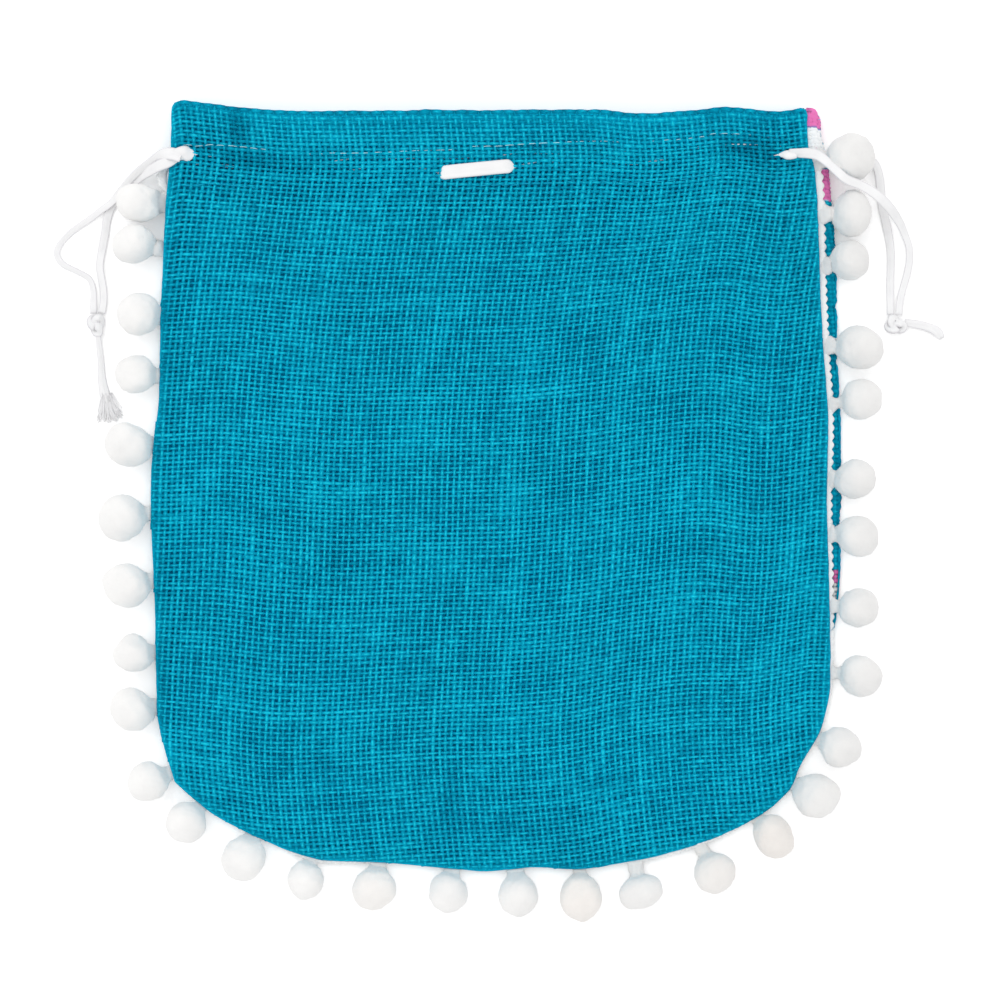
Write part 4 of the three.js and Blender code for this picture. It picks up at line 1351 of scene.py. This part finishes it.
# %% Pompom places
# Share of the seam, reach from the edge, diameter, length over width, half width of the neck,
# and how far along the seam the neck is tied from the ball's foot
POMPOMS = [
    [0.03, 7.9, 10.8, 1.15, 3.9, -1.2], [0.0506, 8.6, 11.8, 1.0, 2.4, 1.2],
    [0.0857, 6.1, 12.4, 0.98, 3.0, 0.5], [0.1169, 6.7, 11.6, 1.0, 2.6, 0.2],
    [0.1537, 7, 13, 1.0, 2.8, -0.6], [0.1904, 7.8, 13.3, 1.02, 2.6, -1.8],
    [0.2244, 7.4, 12.5, 1.04, 2.9, -1.4], [0.2597, 6.3, 11.4, 1.0, 2.7, 0.0],
    [0.2868, 7, 12, 1.02, 2.9, 0.5], [0.3217, 6.8, 11.6, 1.02, 2.6, 0.3],
    [0.345, 6.3, 11.7, 1.0, 2.6, 0.5], [0.3774, 6.6, 12.7, 1.0, 2.7, -1.0],
    [0.4087, 6.5, 10.4, 1.05, 2.5, 0.4], [0.442, 7.2, 12.2, 0.98, 2.9, 0.9],
    [0.4807, 6.6, 11.3, 1.02, 2.9, 0.4], [0.514, 7.4, 11.5, 1.08, 2.8, 0.0],
    [0.5472, 7.8, 12.5, 1.1, 2.4, 0.0], [0.5754, 8.4, 12.4, 0.80, 2.6, 0.4],
    [0.6126, 8.7, 12.6, 0.92, 2.5, -1.3], [0.6449, 6.8, 11.6, 1.1, 2.3, -1.8],
    [0.6696, 6.8, 12.6, 1.0, 2.5, -1.0], [0.6957, 6.9, 12.1, 1.0, 2.5, -0.6],
    [0.7292, 8.3, 12.3, 1.0, 2.5, 0.4], [0.7631, 7.9, 11.3, 1.0, 2.5, 0.6],
    [0.7998, 8, 11.9, 1.0, 2.5, 0.6], [0.8297, 7.9, 11.3, 1.0, 2.5, 0.2],
    [0.869, 9, 11.6, 1.0, 2.4, -0.6], [0.8949, 10, 12.7, 1.05, 2.6, 1.8],
    [0.9411, 8.6, 11.8, 0.9, 2.4, -1.2], [0.9628, 9.8, 14.0, 0.78, 2.8, 0.6],
    [0.99, 10.8, 12.8, 1.06, 3.4, 1.5],
]
NODE_GAP = 0.3


def pompom_places():
    """Distances along the seam, pushed on where two balls would touch, as the solids' are."""
    found = []
    for share, *rest in POMPOMS:
        place = share * SEAM_LENGTH
        if found:
            place = max(place, found[-1][0] + (found[-1][2] + rest[1]) / 2 + NODE_GAP)
        found.append((place, *rest))
    return found


# %% Pompom profile
AROUND, ON_NECK, ON_BALL = 36, 10, 26
BLEND_POWER = 3.4


def soft_noise(points, pick, waves, low, high):
    """Smooth noise on points, with waves between low and high mm long."""
    value = np.zeros(len(points))
    for _ in range(waves):
        direction = unit(pick.normal(size=3)) * 2 * math.pi / pick.uniform(low, high)
        value += np.sin(points @ direction + pick.uniform(0, 2 * math.pi))
    return value / math.sqrt(waves)


def pompom_profile(start, ball, radius, half_long, reach, neck, knob, inset):
    """Places along a pompom, and its half width, top and underside at each of them."""
    near, far = max(reach - half_long, 0.6), reach + half_long
    round_trip = -np.cos(np.linspace(0.12, math.pi, ON_BALL))
    along = np.r_[np.linspace(0, near, ON_NECK, endpoint=False), reach + half_long * round_trip]
    along[-1] = far - 0.02
    inner = np.clip((along - reach) / half_long, -1, 1)
    ball_part = radius * np.sqrt(np.maximum(1 - inner ** 2, 0))
    flare = 1 + knob * np.exp(-((along - inset - 0.6) / 1.0) ** 2)
    waist = 0.86 * neck * flare * ease((reach + radius * 0.2 - along) / (radius * 1.1))
    girth = (ball_part ** BLEND_POWER + waist ** BLEND_POWER) ** (1 / BLEND_POWER)
    neck_high = np.minimum(waist, 0.35 + 0.75 * np.maximum(along - inset, 0))
    neck_level = start[2] + (ball[2] * 0.55 - start[2]) * ease((along - inset) / reach)
    taken = np.where(along > reach, 1.0, ease(ball_part / radius * 1.7))
    top = neck_level + neck_high + (ball[2] + ball_part - neck_level - neck_high) * taken
    low = neck_level - neck_high + (ball[2] - ball_part - neck_level + neck_high) * taken
    return along, girth, top, low


# %% Pompom shape
def pompom_mesh(start, ball, diameter, stretch, neck, knob, inset, pick):
    """Points, quads and yarn places of one pompom, from its tie to the far side of its ball."""
    axis = (ball - start) * [1, 1, 0]
    reach = np.linalg.norm(axis)
    axis = axis / reach
    sideways = np.array([-axis[1], axis[0], 0])
    radius = diameter / 2
    half_long = radius * stretch
    along, girth, top, low = pompom_profile(
        start, ball, radius, half_long, reach, neck, knob, inset
    )
    spine = start + axis * along[:, None]
    spine[:, 2] = (top + low) / 2
    turn = np.linspace(0, 2 * math.pi, AROUND, endpoint=False)
    points = (
        spine[:, None]
        + sideways * (girth[:, None] * np.cos(turn))[..., None]
        + np.array([0, 0, 1.0]) * ((top - low)[:, None] / 2 * np.sin(turn))[..., None]
    ).reshape(-1, 3)
    on_ball = np.repeat(along > max(reach - half_long, 0.6), AROUND)
    outwards = unit(points - np.where(on_ball[:, None], ball, np.repeat(spine, AROUND, axis=0)))
    swell = 0.42 * soft_noise(points, pick, 7, 9, 22) + 0.12 * soft_noise(points, pick, 9, 2.2, 5)
    swell = swell + 0.05 * soft_noise(points, pick, 12, 1.0, 2.0)
    round_turn = np.tile(turn, len(along))
    groove = 0.10 * np.sin(round_turn * 15 + soft_noise(points, pick, 4, 4, 9))
    near_neck = np.repeat(ease((reach - radius * 0.3 - along) / radius), AROUND)
    fade = ease((reach + half_long - along) / 0.8) * ease((along - inset) / 1.5)
    moved = (swell + groove * near_neck) * (0.1 + 0.9 * np.repeat(fade, AROUND))
    points = points + outwards * moved[:, None]
    points[:, 2] = np.maximum(points[:, 2], 0.05)
    spun = np.stack([
        np.cos(round_turn) * 9, np.sin(round_turn) * 9, np.repeat(along, AROUND) * 0.8,
    ], 1) * (0.4 + 0.6 * near_neck)[:, None]
    tip, last = len(points), len(points) - AROUND
    points = np.vstack([points, points[-AROUND:].mean(0)])
    spun = np.vstack([spun, spun[-AROUND:].mean(0)])
    cap = np.array([[last + j, last + (j + 1) % AROUND, tip] for j in range(AROUND)])
    return points, ring_faces(len(along), AROUND, True), cap, spun


def fibre_blades(points, centre, pick, count):
    """Thin loose fibres that stand off a ball, as one small triangle each."""
    out = unit(pick.normal(size=(count, 3)))
    nearest = points[pick.integers(len(points) // 4, len(points), count)]
    direction = unit(unit(nearest - centre) + 0.7 * out)
    length = pick.uniform(0.3, 0.8, (count, 1))
    side = unit(np.cross(direction, out)) * 0.03
    blades = np.stack([nearest - side, nearest + side, nearest + direction * length], 1)
    blades[..., 2] = np.maximum(blades[..., 2], 0.03)
    return blades.reshape(-1, 3), np.arange(count * 3).reshape(-1, 3)


# %% Pompoms
WARM_POMPOMS = {14: 0.5, 17: 1.0, 19: 0.6, 20: 1.2}
LOOSE_FIBRES = 420
RIGHT_NECK, RIGHT_KNOB = 0.12, 0.42
LEFT_INSET, RIGHT_INSET = 1.5, 0.3
LAST_LIFT = 1.2
WHITE_AT_START, GREYER_BY = 0.90, 0.08

pompoms = []
for i, (place, reach, diameter, stretch, neck, tie) in enumerate(pompom_places()):
    pick = np.random.default_rng(100 + i)
    point, outward, _ = (v[0] for v in on_seam(place))
    tied, tied_out, _ = (v[0] for v in on_seam(min(place + tie, SEAM_LENGTH)))
    share = place / SEAM_LENGTH
    on_right = float(ease((share - 0.70) / 0.05))
    seam_level = float(back_level(1.0, TOP - tied[1]))
    high = FRONT_BASE + 0.6 + max(seam_level - 2.2, 0) * 0.45
    inset = LEFT_INSET + (RIGHT_INSET - LEFT_INSET) * on_right
    edge = (float(braid_show(share)) - 0.5) * on_right
    level = high + (seam_level - 1.0 - high) * on_right
    start = np.array([*(tied + tied_out * (edge - inset)), level])
    lift = LAST_LIFT if i == len(POMPOMS) - 1 else 0.0
    ball = np.array([*(point + outward * reach), diameter / 2 + lift])
    neck = neck * (1 - RIGHT_NECK * on_right)
    points, quads, cap, spun = pompom_mesh(
        start, ball, diameter, stretch, neck, RIGHT_KNOB * on_right, inset, pick
    )
    blades, blade_faces = fibre_blades(points, ball, pick, LOOSE_FIBRES)
    quad_split = np.concatenate([quads[:, [0, 1, 2]], quads[:, [0, 2, 3]]])
    faces = np.concatenate([quad_split, cap, blade_faces + len(points)])
    name = f"pompom_{i + 1:02d}"
    made = new_object(name + "_yarn", np.vstack([points, blades]), faces, yarn_white)
    spun = np.vstack([spun, np.zeros_like(blades)])
    store(made, "spun", spun, "FLOAT_VECTOR")
    warm = WARM_POMPOMS.get(i + 1, 0)
    # Greyer towards the right and the foot of the seam, and a little warmer for a few pompoms
    pompom_colour = WHITE_AT_START - GREYER_BY * ease((share - 0.4) / 0.3)
    pompom_colour = pompom_colour * np.array([1, 1 - 0.03 * warm, 1 - 0.055 * warm])
    store(made, "pompom_colour", np.tile([*pompom_colour, 1], (len(spun), 1)), "FLOAT_COLOR")
    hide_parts(name)
    pompoms.append(made)
print(len(pompoms), "pompoms of", len(pompoms[0].data.polygons), "triangles")

# %% [markdown]
# ## Ribbons in the hem
# Inside the casing the ribbon is gathered into a narrow crumpled band. It glints through the
# holes of the weave, and in the middle of the right ribbon one stitch of it shows, where it comes
# out of the cloth and goes in again.

# %% Place of a ribbon in the casing
ROW_PITCH, GATHERED = 2.7, 2.4
RUN_STEP = 0.6
room_above = smooth_line([[0, 2.4], [0.48, 1.7], [1, 1.45]])
LEFT_EXIT, RIGHT_EXIT, STITCH_FROM, STITCH_TO = 0.032, 0.951, 0.425, 0.531
INSIDE, OVER = -CASING_GAP / 2 - 0.1, CLOTH + 0.55
HALF_SLOT, TURN_INSET = 3.2 / WIDTH, 9.3 / WIDTH


def behind_a_weft(x, y):
    """The y nearest to the given one at which a weft yarn hides the ribbon."""
    weft = TOP - y - mouth_dip(across_mouth(x))
    for _ in range(3):
        _, there = weave_place(x - warp_lean(weft), weft)
        weft = weft + there - y
    row = weft / WEFT_PITCH
    part = row - np.floor(row)
    snapped = (np.floor(row) + ease((part - 0.5) * 4 + 0.5)) * WEFT_PITCH
    _, there = weave_place(x - warp_lean(snapped), snapped)
    return float(there)


def casing_place(across, row):
    """(x, y, depth) of a ribbon's middle in its row of the casing."""
    depth = HEADER + room_above(across) + GATHERED / 2 + row * ROW_PITCH
    return *on_hem(across, depth), depth


def casing_point(across, row, height, lower=0.0):
    x, y, depth = casing_place(across, row)
    if height < 0:
        y = behind_a_weft(x, y)
    level = float(back_level(across, depth) - dents(x, y))
    return [float(x), float(y) - lower, level + height]


def front_casing_point(across, row):
    x, y, _ = casing_place(across, row)
    return [float(x), float(y), CLOTH + CASING_GAP / 2]


# %% Line of a ribbon in the hem
def shown_stitch(first, last):
    """The one long stitch outside the cloth: (share of the width, height, how much lower)."""
    slot = HALF_SLOT
    return [
        (first - slot * 0.5, INSIDE, 1.6), (first - slot * 0.02, OVER - 0.1, 2.0),
        (first + slot * 0.7, OVER + 0.3, 1.9), ((first + last) / 2, OVER + 0.4, 1.4),
        (last - slot * 0.7, OVER + 0.2, 0.9), (last - slot * 0.05, OVER - 0.3, 0.8),
        (last + slot * 0.7, INSIDE, 0.4),
    ]


def run_line(exit, row, far, stitch):
    """A ribbon's line: in at its exit, along the back's casing, round, and back in the front's."""
    way = math.copysign(1, far - exit)
    line = [
        casing_point(exit - way * HALF_SLOT * 1.5, row, OVER),
        casing_point(exit - way * HALF_SLOT * 0.55, row, OVER),
        casing_point(exit + way * HALF_SLOT * 0.05, row, 0.3),
    ]
    turn = far - way * TURN_INSET
    marks = np.arange(exit + way * HALF_SLOT * 1.4, turn, way * 2.5 / WIDTH)
    marks = [(mark, INSIDE, 0.0) for mark in marks]
    if stitch:
        first, last = stitch[0] - 2 * HALF_SLOT, stitch[1] + 2 * HALF_SLOT
        kept = [mark for mark in marks if mark[0] < first or mark[0] > last]
        marks = sorted(kept + shown_stitch(*stitch), reverse=way < 0)
    line += [casing_point(mark, row, height, lower) for mark, height, lower in marks]
    top, low = line[-1], front_casing_point(turn, row)
    radius = (top[2] - low[2]) / 2
    for angle in np.linspace(0, math.pi, 7)[1:-1]:
        line.append([
            top[0] + (low[0] - top[0]) * angle / math.pi + way * radius * math.sin(angle),
            top[1] + (low[1] - top[1]) * angle / math.pi, low[2] + radius * (1 + math.cos(angle)),
        ])
    near = 0.0 if far > 0.5 else 1.0
    line += [front_casing_point(m, row) for m in np.arange(turn, near, -way * 5 / WIDTH)]
    line.append(front_casing_point(near, row))
    return along_line(line, RUN_STEP)


# %% Ribbon runs
def run_rings(line, pick, stitch, exit_width):
    """exit_width is the ribbon's width along its first few mm, which show outside the hem."""
    place = np.arange(len(line)) * RUN_STEP
    gathered = np.clip(0.42 + 0.3 * random_run(pick, place, 8), 0.35, 1.0)
    width = gathered + (exit_width(place) - gathered) * ease((7 - place) / 2)
    width = width * (1 - 0.9 * np.exp(-((place - 7.6) / 1.5) ** 2))
    shown, end = np.zeros(len(line)), np.zeros(len(line))
    if stitch:
        middle = casing_point(sum(stitch) / 2, 1, OVER)[0]
        reach = (stitch[1] - stitch[0]) * WIDTH / 2
        away = np.abs(line[:, 0] - middle) + 50 * (place > 150)
        shown = ease((reach + 1.6 - away) / 1.2)
        end = np.sqrt(1 - np.clip((away - reach + 1.5) / 1.9, 0, 0.95) ** 2)
    width = width + shown * (4.0 * end - width)
    curl = 1.4 + 0.4 * random_run(pick, place, 7) - 0.9 * shown
    turn = 0.25 * random_run(pick, place, 9) * (1 - shown) + 0.5 * ease((5 - place) / 3)
    return ribbon_rings(line, width, curl, turn, pleat=0.06)


# Each ribbon: name, exit, row, far side, its visible stitch, and its width by mm from its exit
RUNS = [
    ("left_ribbon_run", LEFT_EXIT, 0, 1.0, None,
     [[0, 3.6], [2, 4.2], [4, 4.6], [5.4, 3.8], [8, 2]]),
    ("right_ribbon_run", RIGHT_EXIT, 1, 0.0, (STITCH_FROM, STITCH_TO),
     [[0, 3.4], [1.5, 3.8], [3, 3.2], [4.6, 1.5], [6, 0.6], [8, 0.5]]),
]
for name, exit, row, far, stitch, exit_width in RUNS:
    line = run_line(exit, row, far, stitch)
    pick = np.random.default_rng(400 + row)
    made = ribbon_object(name + "_satin", [run_rings(line, pick, stitch, smooth_line(exit_width))])
    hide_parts(name)
    print(name, "is", round(len(line) * RUN_STEP), "mm long inside the hem")

# %% [markdown]
# ## Stitching
# A row of white thread closes the casing under the header. Each stitch is a short bright dash
# that rises from the cloth and sinks into it again. A second row, in thread of the cloth's own
# colour, holds the hem's edge.

# %% Stitches
teal_thread = principled("teal_thread", (0.003, 0.36, 0.56), 0.6, 0.1)[0]
white_thread = principled("white_thread", (0.50, 0.84, 0.90), 0.6, 0.1)[0]
# How much lower than the header's line the rows lie, by share of the width
stitch_lower = smooth_line([
    [0, 1.3], [0.038, 1.2], [0.073, 0.3], [0.11, 0.3], [0.135, 0.5], [0.165, 1.1], [0.2, 1.3],
    [0.3, 1.3], [0.42, 1.0], [0.5, 0.2], [0.7, 0], [1, 0],
])


def stitch_row(depth, length, gap, first, last, lift, thick, pick):
    """Rings of the stitches of one row. first and last are shares of the width."""
    parts = []
    at, sunk = first * WIDTH, 0.0
    while at < last * WIDTH:
        long = length * pick.uniform(0.85, 1.1)
        sunk = 0.7 * sunk + pick.normal(0, 0.11)
        shares = (at + long * np.linspace(0, 1, 7)) / WIDTH
        x, y = on_hem(shares, depth + stitch_lower(shares))
        arch = np.sin(np.linspace(0, math.pi, 7)) ** 0.5
        z = back_level(shares, depth + 0 * shares) + CLOTH / 2 - 0.35 + lift * arch
        deeper = 0.22 * ease((shares - 0.2) / 0.3) + 0.16 * ease((shares - 0.55) / 0.2)
        deeper = deeper + 0.2 * ease((shares - 0.8) / 0.06)
        z = z - dents(x, y) - np.clip(sunk + deeper, 0, 0.72)
        line = np.stack([x, y + pick.normal(0, 0.1), z], 1)
        parts.append(ribbon_rings(line, thick, 2.4, 0.0, thickness=thick * 0.5, cuts=3))
        at += long + gap * pick.uniform(0.8, 1.3)
    return parts


pick = np.random.default_rng(77)
white_row = stitch_row(HEADER, 2.6, 1.0, 0.02, 0.985, 0.62, 0.2, pick)
teal_row = stitch_row(HEADER + CASING, 2.5, 0.9, 0.01, 0.99, 0.6, 0.34, pick)
ribbon_object("header_stitches", white_row, white_thread)
ribbon_object("hem_stitches", teal_row, teal_thread)
print("stitches:", len(white_row), "white,", len(teal_row), "teal")

# %% [markdown]
# The looks may stand a little proud of the solids, but they may not change the bag's size. The
# box of the looks is printed.

# %% Finish
bpy.context.view_layer.update()
low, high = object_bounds()
print("looks in mm:", [round(v / MM, 1) for v in (*low, *high)])
